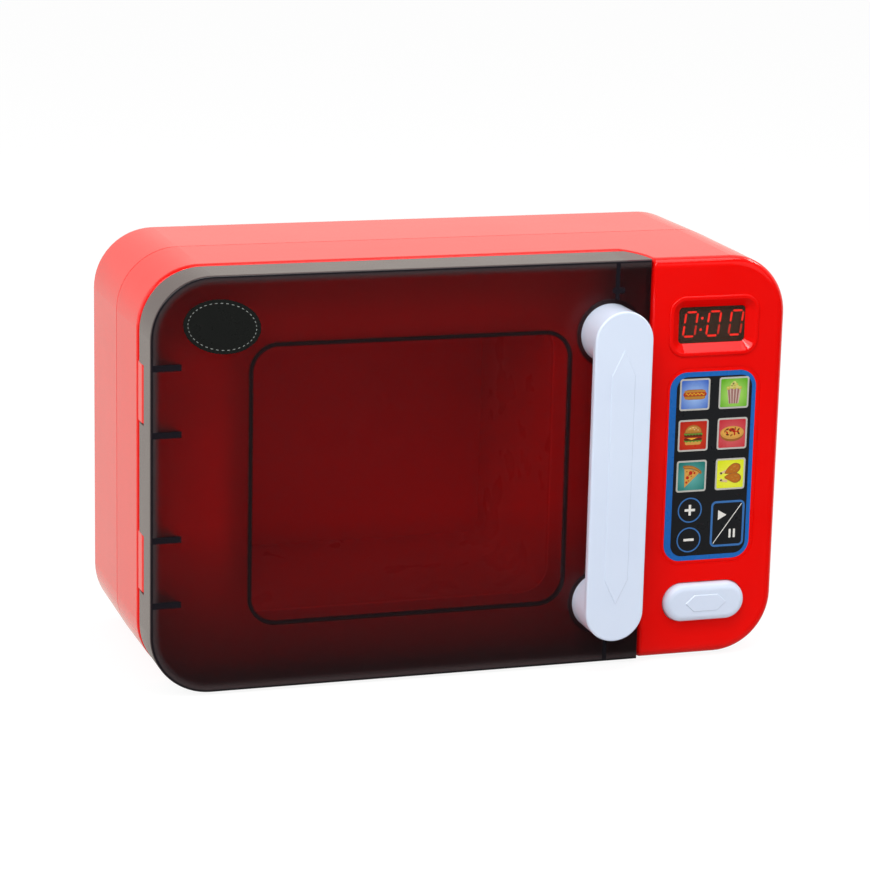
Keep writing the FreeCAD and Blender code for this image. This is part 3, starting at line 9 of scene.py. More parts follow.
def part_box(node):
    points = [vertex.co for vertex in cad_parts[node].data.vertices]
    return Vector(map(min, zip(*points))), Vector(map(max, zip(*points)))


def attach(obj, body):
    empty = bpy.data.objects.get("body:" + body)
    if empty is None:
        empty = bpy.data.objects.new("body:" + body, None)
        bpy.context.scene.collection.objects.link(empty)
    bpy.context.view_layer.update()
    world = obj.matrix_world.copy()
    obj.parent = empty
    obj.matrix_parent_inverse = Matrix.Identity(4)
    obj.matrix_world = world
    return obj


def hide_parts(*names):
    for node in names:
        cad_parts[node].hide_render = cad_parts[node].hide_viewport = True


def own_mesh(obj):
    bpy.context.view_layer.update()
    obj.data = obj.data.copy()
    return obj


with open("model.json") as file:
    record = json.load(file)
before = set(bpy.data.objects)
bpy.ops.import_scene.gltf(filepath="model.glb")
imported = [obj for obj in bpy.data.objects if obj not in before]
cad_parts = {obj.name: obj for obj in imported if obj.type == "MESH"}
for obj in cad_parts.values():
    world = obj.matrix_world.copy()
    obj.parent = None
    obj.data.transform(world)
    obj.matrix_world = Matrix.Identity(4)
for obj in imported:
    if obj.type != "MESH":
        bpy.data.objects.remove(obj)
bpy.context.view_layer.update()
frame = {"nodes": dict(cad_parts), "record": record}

# Looks of the toy microwave oven: moulded red case, smoked door, white handle and
# button, and a printed control panel. Places come from the frame's own nodes, and
# sizes that the frame doesn't give are named, in millimetres. What goes to Blender
# is in metres, as are the places and sizes of the lights.

MM = 0.001
NODES = frame["nodes"]


def placed(name, data):
    """A new object in the scene."""
    made = bpy.data.objects.new(name, data)
    bpy.context.scene.collection.objects.link(made)
    return made


def millimetres(node):
    """A node's box in millimetres: left, right, front, back, bottom and top."""
    low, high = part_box(node)
    return [limit / MM for limit in (low.x, high.x, low.y, high.y, low.z, high.z)]


def middle(node):
    """A node's middle in the front view, in metres."""
    low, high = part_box(node)
    return ((low.x + high.x) / 2, (low.z + high.z) / 2)


# ---------------------------------------------------------------- node trees

# the Mix node's colour sockets, which come after its plain ones
MIX_FIRST, MIX_LAST, MIX_RESULT = 6, 7, 2


class Nodes:
    """A node tree, and the nodes that this script adds to it."""

    def __init__(self, tree):
        self.tree = tree

    def node(self, kind, **settings):
        """A new node of a kind."""
        made = self.tree.nodes.new("ShaderNode" + kind)
        for name, setting in settings.items():
            setattr(made, name, setting)
        return made

    def feed(self, socket, setting):
        """Give an input either a link or a plain value, where a colour has three parts."""
        if isinstance(setting, bpy.types.NodeSocket):
            self.tree.links.new(setting, socket)
        elif socket.type == "RGBA":
            socket.default_value = (*setting, 1.0)
        else:
            socket.default_value = setting

    def fed(self, kind, *terms, **settings):
        """A new node with its inputs fed in order, as its first output."""
        made = self.node(kind, **settings)
        for socket, term in zip(made.inputs, terms):
            self.feed(socket, term)
        return made.outputs[0]

    def math(self, operation, *terms):
        """One operation on one, two or three values."""
        return self.fed("Math", *terms, operation=operation)

    def fold(self, operation, result, *others):
        """One operation over any number of values."""
        for other in others:
            result = self.math(operation, result, other)
        return result

    def spread(self, source, low, high, to_low=0.0, to_high=1.0):
        """source, from low to high, turned into a value from to_low to to_high and held there."""
        return self.fed("MapRange", source, low, high, to_low, to_high)

    def between(self, share, first, last):
        """A value that goes from first to last with share."""
        return self.spread(share, 0.0, 1.0, first, last)

    def blend(self, share, first, last):
        """A colour that goes from first to last with share."""
        made = self.node("Mix", data_type="RGBA")
        self.feed(made.inputs["Factor"], share)
        self.feed(made.inputs[MIX_FIRST], first)
        self.feed(made.inputs[MIX_LAST], last)
        return made.outputs[MIX_RESULT]

    def apart(self, vector):
        """A vector's x, y and z."""
        made = self.node("SeparateXYZ")
        self.feed(made.inputs[0], vector)
        return made.outputs

    def rays(self):
        """Whether a ray is the camera's, also past frosted plastic, and whether it is mirrored."""
        path = self.node("LightPath").outputs
        seen = self.math("MAXIMUM", path["Is Camera Ray"], path["Is Transmission Ray"])
        return seen, path["Is Glossy Ray"]


# ---------------------------------------------------------------- finishes

# the stretches of a noise that most changes in a finish follow, and a moulded colour
UNEVEN, FLOW = (0.3, 0.7), (0.35, 0.65)
# a moulded surface's bumps, in millimetres: across and high, and how strong they are
BUMPS, BUMP_STRENGTH = ((30, 0.3), (1.2, 0.01)), 0.03
# the palest spot of a glowing paint, and where it fades, as shares of what it covers
GLOW_SPOT, GLOW_FADE = (0.5, 0.45), (0.05, 0.6)
# the share of light that gets through the display's lens
LENS_CLEAR = 0.66


class Finish(Nodes):
    """A Principled material."""

    def __init__(self, name, **sockets):
        self.material = bpy.data.materials.new(name)
        self.material.use_nodes = True
        super().__init__(self.material.node_tree)
        self.shader = self.tree.nodes["Principled BSDF"]
        coordinates = self.node("TexCoord").outputs
        self.place = coordinates["Object"]
        self.share = coordinates["Generated"]
        self.facing = coordinates["Normal"]
        for socket, setting in sockets.items():
            self.set(socket.replace("_", " "), setting)

    def set(self, socket, setting):
        """Feed one of the Principled shader's inputs."""
        self.feed(self.shader.inputs[socket], setting)

    def show(self, share, first, last):
        """Show a mix of two shaders, from first to last with share."""
        mixed = self.fed("MixShader", share, first, last)
        self.feed(self.tree.nodes["Material Output"].inputs["Surface"], mixed)

    def noise(self, size, detail=3.0, stretch=(1, 1, 1)):
        """Noise from 0 to 1 whose features are about size millimetres across."""
        mapping = self.node("Mapping")
        self.feed(mapping.inputs["Vector"], self.place)
        self.feed(mapping.inputs["Scale"], stretch)
        made = self.node("TexNoise")
        self.feed(made.inputs["Vector"], mapping.outputs[0])
        self.feed(made.inputs["Scale"], 1 / (size * MM))
        self.feed(made.inputs["Detail"], detail)
        return made.outputs["Fac"]

    def uneven(self, noise, low, high):
        """A value that goes from low to high with a noise."""
        return self.spread(noise, *UNEVEN, low, high)

    def ripple(self):
        """A moulded surface's faint ripple and fine grain, one bump on another."""
        below = None
        for size, height in BUMPS:
            made = self.node("Bump")
            self.feed(made.inputs["Strength"], BUMP_STRENGTH)
            self.feed(made.inputs["Distance"], height * MM)
            self.feed(made.inputs["Height"], self.noise(size, 1.0))
            if below is not None:
                self.feed(made.inputs["Normal"], below)
            below = made.outputs[0]
        self.set("Normal", below)

    def fade(self, distance, low, high, to_low=0.0, to_high=1.0):
        """spread for a distance in metres and its limits in millimetres."""
        return self.spread(distance, low * MM, high * MM, to_low, to_high)

    def past(self, axis, place):
        """How far a coordinate is past a place in millimetres, in metres."""
        return self.math("SUBTRACT", axis, place * MM)

    def rounded_box(self, across, up, width, height, corner):
        """Distance in metres outside a rounded rectangle in the front view, negative inside."""
        x, _, z = self.apart(self.place)
        beyond = []
        for axis, centre, size in ((x, across, width), (z, up, height)):
            away = self.math("ABSOLUTE", self.past(axis, centre))
            beyond.append(self.past(away, size / 2 - corner))
        outside = [self.math("MAXIMUM", side, 0.0) for side in beyond]
        reach = self.math("SQRT", self.math(
            "ADD", *(self.math("POWER", side, 2.0) for side in outside)))
        inside = self.math("MINIMUM", self.math("MAXIMUM", *beyond), 0.0)
        return self.past(self.math("ADD", reach, inside), corner)


def darker(colour, share):
    """A colour with a share of its light."""
    return tuple(share * part for part in colour)


def moulded(name, deep, pale, rough, shine=0.3):
    """Injection moulded plastic: slight flow in the colour, uneven gloss, a faint ripple
    and fine grain."""
    finish = Finish(name, Specular_IOR_Level=shine)
    flow = finish.noise(90, stretch=(1, 1, 2))
    finish.set("Base Color", finish.blend(finish.spread(flow, *FLOW), deep, pale))
    finish.set("Roughness", finish.uneven(finish.noise(25), rough * 0.85, rough * 1.15))
    finish.ripple()
    return finish


def metal(name, colour, rough):
    """Plated steel with fine turning marks."""
    finish = Finish(name, Metallic=1.0)
    finish.set("Base Color", finish.blend(finish.noise(3), colour, darker(colour, 0.8)))
    marks = finish.noise(0.4, stretch=(1, 0.1, 1))
    finish.set("Roughness", finish.uneven(marks, rough, rough * 1.6))
    return finish


def paint(name, colour, rough=0.3):
    """Printing ink: a little uneven in colour and gloss."""
    finish = Finish(name, Specular_IOR_Level=0.25)
    fleck = finish.uneven(finish.noise(1.2), 0.0, 1.0)
    finish.set("Base Color", finish.blend(fleck, darker(colour, 0.94), colour))
    finish.set("Roughness", finish.uneven(finish.noise(6), rough * 0.85, rough * 1.2))
    return finish


def glowing_paint(name, centre, rim):
    """The ground of a key's picture: one colour round a spot, another at the rim."""
    finish = Finish(name, Specular_IOR_Level=0.25)
    x, _, z = finish.apart(finish.share)
    squares = [
        finish.math("POWER", finish.math("SUBTRACT", axis, spot), 2.0)
        for axis, spot in zip((x, z), GLOW_SPOT)]
    reach = finish.math("SQRT", finish.math("ADD", *squares))
    finish.set("Base Color", finish.blend(finish.spread(reach, *GLOW_FADE), centre, rim))
    finish.set("Roughness", finish.uneven(finish.noise(6), 0.26, 0.36))
    return finish


def lit(name, strength):
    """A lit red segment of the display."""
    finish = Finish(
        name, Base_Color=(0.75, 0.01, 0.006), Emission_Color=(1.0, 0.012, 0.006), Roughness=0.4)
    finish.set("Emission Strength", finish.uneven(finish.noise(4, 2.0), strength * 0.8, strength))
    return finish


def smoked_lens():
    """The dark clear window over the digits."""
    finish = Finish("smoked_lens", Base_Color=(0.10, 0.062, 0.044), Specular_IOR_Level=0.3)
    finish.set("Roughness", finish.uneven(finish.noise(10), 0.1, 0.18))
    clear = finish.fed("BsdfTransparent", (0.95, 0.9, 0.88))
    finish.show(LENS_CLEAR, finish.shader.outputs[0], clear)
    return finish


# ---------------------------------------------------------------- smoked door

# the door's depth and its corners' radius; its outline has no rim on the right, so
# that side is put further off; and the middle of the groove round its window
DOOR_DEPTH, DOOR_CORNER, RIGHT_SIDE_OFF = 22.6, 27.0, 60.0
WINDOW = dict(across=-29.25, up=93.0, width=144.5, height=124.0, corner=12.0)
# how wide the groove is, and how thick the handle's round posts are
GROOVE, POST = 2.0, 27.0
# the hinge ears inside its left wall, and the rib and the stud by its right side
EAR_LEVELS, EAR_REACH, EAR_WALL = (42.3, 71.4, 117.7, 146.8), 13.4, 2.6
RIB = 64.0
STUD = dict(across=64.6, up=172.5, width=6.0, height=2.8, corner=1.2)
# how far an ear and the rib reach from their middles, from where they fade to their end
EAR_EDGE, RIB_EDGE = (0.51 * EAR_WALL, 0.58 * EAR_WALL), (0.8, 1.2)
# how far other edges are soft
SOFT = 0.3

# Shades that follow a distance in millimetres: from one distance to another, the share
# of light that gets through goes from one value to another. The distances are out
# from the door's outline, from the middle of the groove, out from a post of the
# handle, in the seat round it, back from the door's back, up from its bottom, and
# right from the rib. The last two are painted shade on what the camera sees through
# the door: darker towards its bottom, and by the rib, most on its left.
IN_WALLS = (-4.2, -0.8, 1.0, 0.0)
IN_GROOVE = (0.35 * GROOVE, 0.55 * GROOVE, 0.12, 1.0)
IN_SEATS = (1.6, 2.6, 0.35, 1.0)
AT_BACK = (-0.4, -0.1, 1.0, 0.08)
# painted shade: darker towards the bottom, and by the rib
PAINTED_SHADE_NEAR_BOTTOM = (0.0, 75.0, 0.34, 1.0)
PAINTED_SHADE_LEFT_FROM_RIB = (-16.0, -1.0, 1.0, 0.72)
PAINTED_SHADE_RIGHT_FROM_RIB = (0.0, 1.0, 0.0, 0.95)
# the share that gets through an ear, the rib or the stud; to the camera through the
# window, the frost round it and a flank; and for light that falls in
SOLID, PANE, FROSTED, FLANK, TO_LIGHT = 0.06, 0.58, 0.55, 0.5, 0.92
# how much the frost blurs, how much plastic bends light, and what it leaves of it
SCATTER, BENDING, TINT = 0.5, 1.45, (0.97, 0.82, 0.82)
# how squarely a face looks to the front or the back, from a flank to a flat face
SQUARELY = 0.55, 0.9

# the smoke's own colour on the front; near its rim a paler grey-brown, which is painted
# light from the lit walls; its own colour on the rim and on solid marks; and where
# these change by the rim, in millimetres out from the door's outline
SMOKE, PAINTED_LIGHT_NEAR_RIM = (0.014, 0.008, 0.009), (0.050, 0.036, 0.038)
SMOKE_RIM, SMOKE_SOLID = (0.009, 0.008, 0.011), (0.012, 0.010, 0.014)
PAINTED_LIGHT_SPAN, ON_RIM = (-4.5, -2.0), (-1.4, -0.9)
# its colour on the walls, a grey-brown that is partly the walls' own smoke and mostly a
# painted reflection of the white surroundings; a reddish colour on the wall by the
# panel; and where that starts, in millimetres right from the door's right side
WALL_PAINTED_REFLECTION, SMOKE_BY_PANEL, BY_PANEL = (0.070, 0.048, 0.048), (0.060, 0.012, 0.018), (-14.0, -10.0)
# how rough it is when clear and when frosted
CLEAR_ROUGH, FROST_ROUGH = 0.1, 0.2


def solid_marks(finish):
    """1 on the door's ears, rib and stud, where little light gets through, and 0 elsewhere."""
    left, _, front, _, _, _ = millimetres("door_panel")
    x, depth, level = finish.apart(finish.place)

    def line(distance, edge):
        """1 within a line, 0 past its edge on either side."""
        return finish.fade(finish.math("ABSOLUTE", distance), *edge, 1.0, 0.0)

    ears = finish.fold("MAXIMUM", *(
        line(finish.past(level, up), EAR_EDGE) for up in EAR_LEVELS))
    ends = finish.fade(x, left + EAR_REACH, left + EAR_REACH + SOFT, 1.0, 0.0)
    rib = line(finish.past(x, RIB), RIB_EDGE)
    stud = finish.fade(finish.rounded_box(**STUD), -SOFT, SOFT, 1.0, 0.0)
    on_front = finish.fade(depth, front + SOFT, front + 2 * SOFT, 1.0, 0.0)
    return finish.math(
        "MAXIMUM", finish.math("MULTIPLY", ears, ends),
        finish.math("MULTIPLY", finish.math("MAXIMUM", rib, stud), on_front))


def smoked_plastic():
    """Smoked see-through plastic: solid in its walls and groove, frosted round the
    window and clear within."""
    finish = Finish("smoked_plastic", Specular_IOR_Level=0.28)
    left, right, front, _, bottom, top = millimetres("door_panel")
    x, depth, level = finish.apart(finish.place)
    _, facing, _ = finish.apart(finish.facing)
    flat = finish.spread(finish.math("ABSOLUTE", facing), *SQUARELY)
    marks = solid_marks(finish)

    # distances from the door's outline, the groove's middle, the posts and the rib
    rim = finish.rounded_box(
        (left + right + RIGHT_SIDE_OFF) / 2, (bottom + top) / 2,
        right + RIGHT_SIDE_OFF - left, top - bottom, DOOR_CORNER)
    edge = finish.rounded_box(**WINDOW)
    post_left, post_right, _, _, post_low, post_high = millimetres("door_handle")
    posts = finish.math("MINIMUM", *(
        finish.rounded_box((post_left + post_right) / 2, up, POST, POST, POST / 2)
        for up in (post_low + POST / 2, post_high - POST / 2)))
    beside_rib = finish.past(x, RIB)

    # the share of light that gets through one face: by place, and by what the ray is for
    open_area = finish.fold(
        "MULTIPLY",
        finish.fade(rim, *IN_WALLS),
        finish.fade(finish.math("ABSOLUTE", edge), *IN_GROOVE),
        finish.fade(posts, *IN_SEATS),
        finish.fade(finish.past(depth, front + DOOR_DEPTH), *AT_BACK),
        finish.between(marks, 1.0, SOLID))
    frost = finish.fade(edge, -SOFT, SOFT)
    # painted shade by the rib: darker towards it from the left, and a little darker right of it
    painted_shade_near_rib = finish.math("MAXIMUM", *(
        finish.fade(beside_rib, *shade) for shade in (PAINTED_SHADE_LEFT_FROM_RIB, PAINTED_SHADE_RIGHT_FROM_RIB)))
    # what the camera sees through one face, with painted shade towards the bottom and by the rib
    seen = finish.fold(
        "MULTIPLY",
        finish.between(frost, PANE, FROSTED),
        finish.fade(finish.past(level, bottom), *PAINTED_SHADE_NEAR_BOTTOM),
        painted_shade_near_rib, flat)
    seen = finish.math("ADD", seen, finish.between(flat, FLANK, 0.0))
    watched, _ = finish.rays()
    passing = finish.math(
        "ADD", finish.math("MULTIPLY", seen, watched), finish.between(watched, TO_LIGHT, 0.0))

    # painted light: paler grey-brown near the rim, where lit walls would show through the front
    smoke_with_painted_light = finish.blend(finish.fade(rim, *PAINTED_LIGHT_SPAN), SMOKE, PAINTED_LIGHT_NEAR_RIM)
    smoke_with_painted_light = finish.blend(finish.fade(rim, *ON_RIM), smoke_with_painted_light, SMOKE_RIM)
    smoke_with_painted_light = finish.blend(marks, smoke_with_painted_light, SMOKE_SOLID)
    # painted reflection: the walls are a paler grey-brown than the front; by the panel they turn
    # reddish
    painted_reflection_on_walls = finish.blend(
        finish.fade(finish.past(x, right), *BY_PANEL), WALL_PAINTED_REFLECTION, SMOKE_BY_PANEL)
    finish.set("Base Color", finish.blend(flat, painted_reflection_on_walls, smoke_with_painted_light))
    dust = finish.uneven(finish.noise(30, 4.0), -0.02, 0.03)
    finish.set("Roughness", finish.math(
        "ADD", finish.between(frost, CLEAR_ROUGH, FROST_ROUGH), dust))
    finish.ripple()

    clear = finish.fed("BsdfTransparent", TINT)
    scattered = finish.fed("BsdfRefraction", TINT, SCATTER, BENDING)
    blurred = finish.fed("MixShader", finish.math("MULTIPLY", frost, watched), clear, scattered)
    finish.show(finish.math("MULTIPLY", open_area, passing), finish.shader.outputs[0], blurred)
    return finish


# ---------------------------------------------------------------- finishes of the CAD nodes

# the moulded plastics' colours, where they are deepest and where they are palest
RED = (0.86, 0.0025, 0.0015), (0.90, 0.0035, 0.002)
WHITE = (0.71, 0.80, 0.965), (0.74, 0.83, 0.985)
NATURAL = (0.55, 0.53, 0.48), (0.62, 0.6, 0.55)
BLACK = (0.012, 0.012, 0.013), (0.02, 0.02, 0.021)
GREEN = (0.02, 0.12, 0.05), (0.03, 0.15, 0.06)

FINISHES = {
    "case_red": moulded("case_red", *RED, 0.13, shine=0.35),
    "oven_red": moulded("oven_red", *RED, 0.3, shine=0.2),
    "white_plastic": moulded("white_plastic", *WHITE, 0.12, shine=0.5),
    "natural_plastic": moulded("natural_plastic", *NATURAL, 0.38),
    "black_plastic": moulded("black_plastic", *BLACK, 0.35),
    "smoked_plastic": smoked_plastic(),
    "badge": paint("badge", (0.012, 0.013, 0.012), 0.28),
    "smoked_lens": smoked_lens(),
    "keypad_film": paint("film_blue", (0.012, 0.14, 0.50), 0.28),
    "board": moulded("board_green", *GREEN, 0.4),
    "steel": metal("steel", (0.62, 0.62, 0.63), 0.25),
}


def dress(node, finish):
    """Give a CAD node its finish."""
    slots = NODES[node].data.materials
    slots.clear()
    slots.append(finish.material)


for entry in frame["record"]["subparts"]:
    dress(entry["node"], FINISHES[entry["material_slot"]])


def pressed_coil():
    """The button's spring as a piece of its own with its own mesh, riding on the casing."""
    coil = placed("button_coil", NODES["button_spring"].data.copy())
    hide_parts("button_spring")
    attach(coil, "casing")
    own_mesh(coil)


pressed_coil()


# ---------------------------------------------------------------- flat printed shapes

# points round a corner, between two points of a smooth curve, and along one wave
CORNER_STEPS, CURVE_STEPS, WAVE_STEPS = 8, 6, 8


def arc(across, up, reach_across, reach_up, start=0.0, end=360.0, count=32):
    """Points on an ellipse from one angle to another, in degrees."""
    whole = abs(end - start) >= 360
    steps = count if whole else count + 1
    angles = [math.radians(start + (end - start) * step / count) for step in range(steps)]
    return [(across + reach_across * math.cos(a), up + reach_up * math.sin(a)) for a in angles]


def rounded(width, height, corner, across=0.0, up=0.0):
    """A rectangle with round corners about a centre."""
    points = []
    for quarter, (side, level) in enumerate(((1, 1), (-1, 1), (-1, -1), (1, -1))):
        points += arc(
            across + side * (width / 2 - corner), up + level * (height / 2 - corner),
            corner, corner, 90 * quarter, 90 * quarter + 90, CORNER_STEPS)
    return points


def smooth(points):
    """A closed curve through points (Catmull-Rom)."""
    curve = []
    count = len(points)
    for index in range(count):
        spots = [Vector(points[(index + shift) % count]) for shift in (-1, 0, 1, 2)]
        for step in range(CURVE_STEPS):
            t = step / CURVE_STEPS
            curve.append(tuple(0.5 * (
                2 * spots[1] + (spots[2] - spots[0]) * t
                + (2 * spots[0] - 5 * spots[1] + 4 * spots[2] - spots[3]) * t ** 2
                + (3 * spots[1] - spots[0] - 3 * spots[2] + spots[3]) * t ** 3
            )))
    return curve


def turned(points, angle, across=0.0, up=0.0):
    """Points turned by an angle in degrees about the origin, then moved."""
    cos, sin = math.cos(math.radians(angle)), math.sin(math.radians(angle))
    return [(x * cos - z * sin + across, x * sin + z * cos + up) for x, z in points]


def wave(width, height, swing, waves, up=0.0):
    """A wavy band across the middle."""
    steps = waves * WAVE_STEPS
    line = [
        (width * (step / steps - 0.5), up + swing * math.sin(2 * math.pi * waves * step / steps))
        for step in range(steps + 1)
    ]
    return [(x, z - height / 2) for x, z in line] + [(x, z + height / 2) for x, z in reversed(line)]


# how thick a printed layer is
LAYER = 0.02


class Printing:
    """Flat printed shapes on a front face, each a layer above the last, as one piece.

    Points are in millimetres across and up from a centre.
    """

    def __init__(self, name, centre, front):
        self.name = name
        self.centre = centre
        self.front = front
        self.mesh = bmesh.new()
        self.finishes = []

    def rim(self, outline, layer=0):
        """An outline's points as vertices, so many layers proud of the front face."""
        across, up = self.centre
        depth = self.front - layer * LAYER * MM
        return [self.mesh.verts.new((across + x * MM, depth, up + z * MM)) for x, z in outline]

    def walls(self, near, far):
        """Faces from one rim to another."""
        corners = zip(near, near[1:] + near[:1], far[1:] + far[:1], far)
        return [self.mesh.faces.new(four) for four in corners]

    def ink(self, finish, faces):
        """Give faces their finish."""
        if finish not in self.finishes:
            self.finishes.append(finish)
        for face in faces:
            face.material_index = self.finishes.index(finish)

    def add(self, finish, *outlines, layer=1):
        """Plates of one finish whose face is so many layers proud of the front face."""
        for outline in outlines:
            face, foot = self.rim(outline, layer), self.rim(outline)
            ends = [self.mesh.faces.new(face), self.mesh.faces.new(reversed(foot))]
            self.ink(finish, ends + self.walls(foot, face))

    def band(self, finish, outer, inner, layer=1):
        """A closed band between two outlines with as many points each."""
        rims = [self.rim(outer, layer), self.rim(inner, layer), self.rim(inner), self.rim(outer)]
        for near, far in zip(rims, rims[1:] + rims[:1]):
            self.ink(finish, self.walls(near, far))

    def piece(self, body, slot):
        """Make the shapes a piece that rides on a body."""
        bmesh.ops.recalc_face_normals(self.mesh, faces=self.mesh.faces)
        mesh = bpy.data.meshes.new(self.name)
        self.mesh.to_mesh(mesh)
        self.mesh.free()
        for finish in self.finishes:
            mesh.materials.append(finish.material)
        made = placed(self.name, mesh)
        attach(made, body)


# ---------------------------------------------------------------- keypad

film_low, film_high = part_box("keypad_film")
FILM_FRONT = film_low.y
# the film's own blue round its black ground, at the left, at the right and at both ends
BORDER_LEFT, BORDER_RIGHT, BORDER_END = 3.2, 1.9, 2.2
GROUND_CORNER = 5.5
film_width = (film_high.x - film_low.x) / MM
film_height = (film_high.z - film_low.z) / MM

film_black = paint("film_black", (0.016, 0.017, 0.019))
tile_rim = paint("tile_rim", (0.52, 0.51, 0.47))
key_ring = paint("key_ring", (0.045, 0.17, 0.45))
glyph = paint("glyph", (0.82, 0.81, 0.76))

ground = Printing("keypad_ground", middle("keypad_film"), FILM_FRONT)
ground.add(film_black, rounded(
    film_width - BORDER_LEFT - BORDER_RIGHT, film_height - 2 * BORDER_END, GROUND_CORNER,
    (BORDER_LEFT - BORDER_RIGHT) / 2))
ground.piece("casing", "keypad_film")

bun = paint("bun", (0.52, 0.23, 0.04))
crust = paint("crust", (0.36, 0.13, 0.03))
toast = paint("toast", (0.66, 0.33, 0.07))
cream = paint("cream", (0.88, 0.78, 0.48))
leaf = paint("leaf", (0.12, 0.32, 0.04))
meat = paint("meat", (0.13, 0.03, 0.012))
sausage = paint("sausage", (0.46, 0.05, 0.015))
mustard = paint("mustard", (0.85, 0.52, 0.03))
cheese = paint("cheese", (0.88, 0.45, 0.04))
tomato = paint("tomato", (0.55, 0.02, 0.01))
melted = paint("melted", (0.74, 0.38, 0.07))
kernel = paint("kernel", (0.66, 0.62, 0.18))
husk = paint("husk", (0.60, 0.50, 0.08))
paper = paint("paper", (0.58, 0.44, 0.38))
stripe = paint("stripe", (0.34, 0.15, 0.13))
fried = paint("fried", (0.52, 0.16, 0.015))
bone = paint("bone", (0.75, 0.55, 0.30))


def hot_dog(picture):
    """A sausage in a bun, with a leaf under it and mustard on it."""
    picture.add(crust, rounded(10.6, 4.6, 2.2), layer=4)
    picture.add(bun, rounded(10.2, 1.6, 0.75, 0, 1.2), rounded(10.0, 1.5, 0.7, 0, -1.35), layer=5)
    picture.add(leaf, wave(9.4, 0.5, 0.2, 6, -0.6), layer=6)
    picture.add(sausage, rounded(11.2, 1.8, 0.88, 0, 0.1), layer=7)
    picture.add(mustard, wave(9.0, 0.4, 0.4, 5, 0.2), layer=8)


def popcorn(picture):
    """A striped box of popcorn."""
    top, foot = 1.9, -5.0
    # a stripe is narrower and nearer to the middle at the foot
    top_width, foot_width, nearer = 0.85, 0.62, 0.72
    picture.add(paper, [(-3.4, top), (-2.4, foot), (2.4, foot), (3.4, top)], layer=4)
    for left in (-3.0, -1.45, 0.1, 1.65):
        picture.add(stripe, [
            (left, top), (left * nearer, foot),
            (left * nearer + foot_width, foot), (left + top_width, top)], layer=5)
    flakes = (
        (-2.8, 2.2), (-1.4, 2.7), (0.0, 2.4), (1.4, 2.7), (2.8, 2.2),
        (-0.9, 3.8), (0.9, 3.7), (0.0, 4.5))
    for number, (across, up) in enumerate(flakes):
        odd = number % 2
        picture.add(kernel if odd else husk, arc(across, up, 0.9, 0.8, count=14), layer=6 + odd)
        picture.add(kernel, arc(across - 0.2, up + 0.25, 0.45, 0.35, count=10), layer=8)


def burger(picture):
    """A burger, from the foot of its bun to the seeds on top."""
    picture.add(toast, rounded(7.6, 1.8, 0.8, 0, -3.4), layer=4)
    picture.add(leaf, wave(8.6, 0.8, 0.2, 5, -2.5), layer=5)
    picture.add(meat, rounded(8.5, 1.3, 0.6, 0, -1.7), layer=6)
    picture.add(cheese, [(-3.8, -0.9), (-0.6, -2.0), (2.8, -0.9)], layer=7)
    picture.add(tomato, rounded(7.8, 0.6, 0.28, 0, -0.8), layer=8)
    picture.add(meat, rounded(8.6, 1.2, 0.55, 0, -0.1), layer=9)
    picture.add(leaf, wave(8.9, 0.7, 0.22, 6, 0.7), layer=10)
    picture.add(crust, [(-4.2, 1.0)] + arc(0, 1.0, 4.2, 3.9, 180, 0, 20), layer=11)
    picture.add(bun, arc(-0.1, 1.4, 3.8, 3.2, 180, 0, 20), layer=12)
    shine = smooth([(-2.8, 2.8), (-1.0, 4.0), (1.3, 3.9), (0.2, 3.1), (-1.6, 2.5)])
    picture.add(toast, shine, layer=13)
    for across, up in ((-1.7, 3.4), (-0.3, 3.7), (1.2, 3.4), (0.4, 2.7), (2.2, 2.5)):
        picture.add(cream, arc(across, up, 0.26, 0.16, count=8), layer=14)


def pie(picture):
    """A round pie with toppings."""
    picture.add(crust, arc(0, -0.5, 5.6, 3.2), layer=4)
    picture.add(toast, arc(0, 0.4, 5.7, 3.0), layer=5)
    picture.add(melted, arc(0, 0.6, 5.0, 2.4), layer=6)
    toppings, apart, spin, flatness = 11, 33, 50, 0.45
    for number in range(toppings):
        angle = math.radians(apart * number)
        reach = 3.6 if number % 3 else 2.6
        spot = (reach * math.cos(angle), 0.8 + reach * flatness * math.sin(angle))
        picture.add(
            (tomato, meat, crust)[number % 3],
            turned(arc(0, 0, 0.75, 0.38, count=10), spin * number, *spot), layer=7 + number % 3)
    picture.add(
        tomato, arc(-0.2, 1.7, 1.5, 0.8, count=16), arc(1.0, 0.9, 0.8, 0.5, count=12), layer=10)
    picture.add(
        meat, arc(0.1, 2.0, 0.6, 0.35, count=10), arc(-0.9, 1.2, 0.5, 0.3, count=10), layer=11)


def pizza(picture):
    """A slice of pizza."""
    rim = smooth([
        (-3.8, 5.0), (0.4, 4.7), (3.8, 2.9), (4.9, 1.4),
        (4.1, 0.9), (2.6, 2.2), (-0.2, 3.3), (-3.7, 3.6)])
    shine = smooth([
        (-3.4, 4.6), (0.4, 4.3), (3.5, 2.6), (4.2, 1.5), (2.8, 2.5), (0.0, 3.6), (-3.4, 4.0)])
    picture.add(toast, [(-3.5, 3.9), (4.3, 1.9), (-3.2, -5.2)], layer=4)
    picture.add(melted, [(-2.9, 3.0), (2.4, 1.4), (-2.7, -3.8)], layer=5)
    picture.add(crust, rim, layer=6)
    picture.add(bun, shine, layer=7)
    slices = ((-0.4, 1.5, 0.9), (-1.9, -0.6, 0.75), (1.4, 1.4, 0.5), (-2.3, -2.8, 0.5))
    for across, up, reach in slices:
        picture.add(tomato, arc(across, up, reach, reach, count=14), layer=8)
    for across, up in ((-2.3, 2.2), (0.0, 0.0), (-1.4, -2.1), (0.8, 2.3), (-1.2, 0.6)):
        picture.add(crust, arc(across, up, 0.42, 0.26, count=8), layer=9)


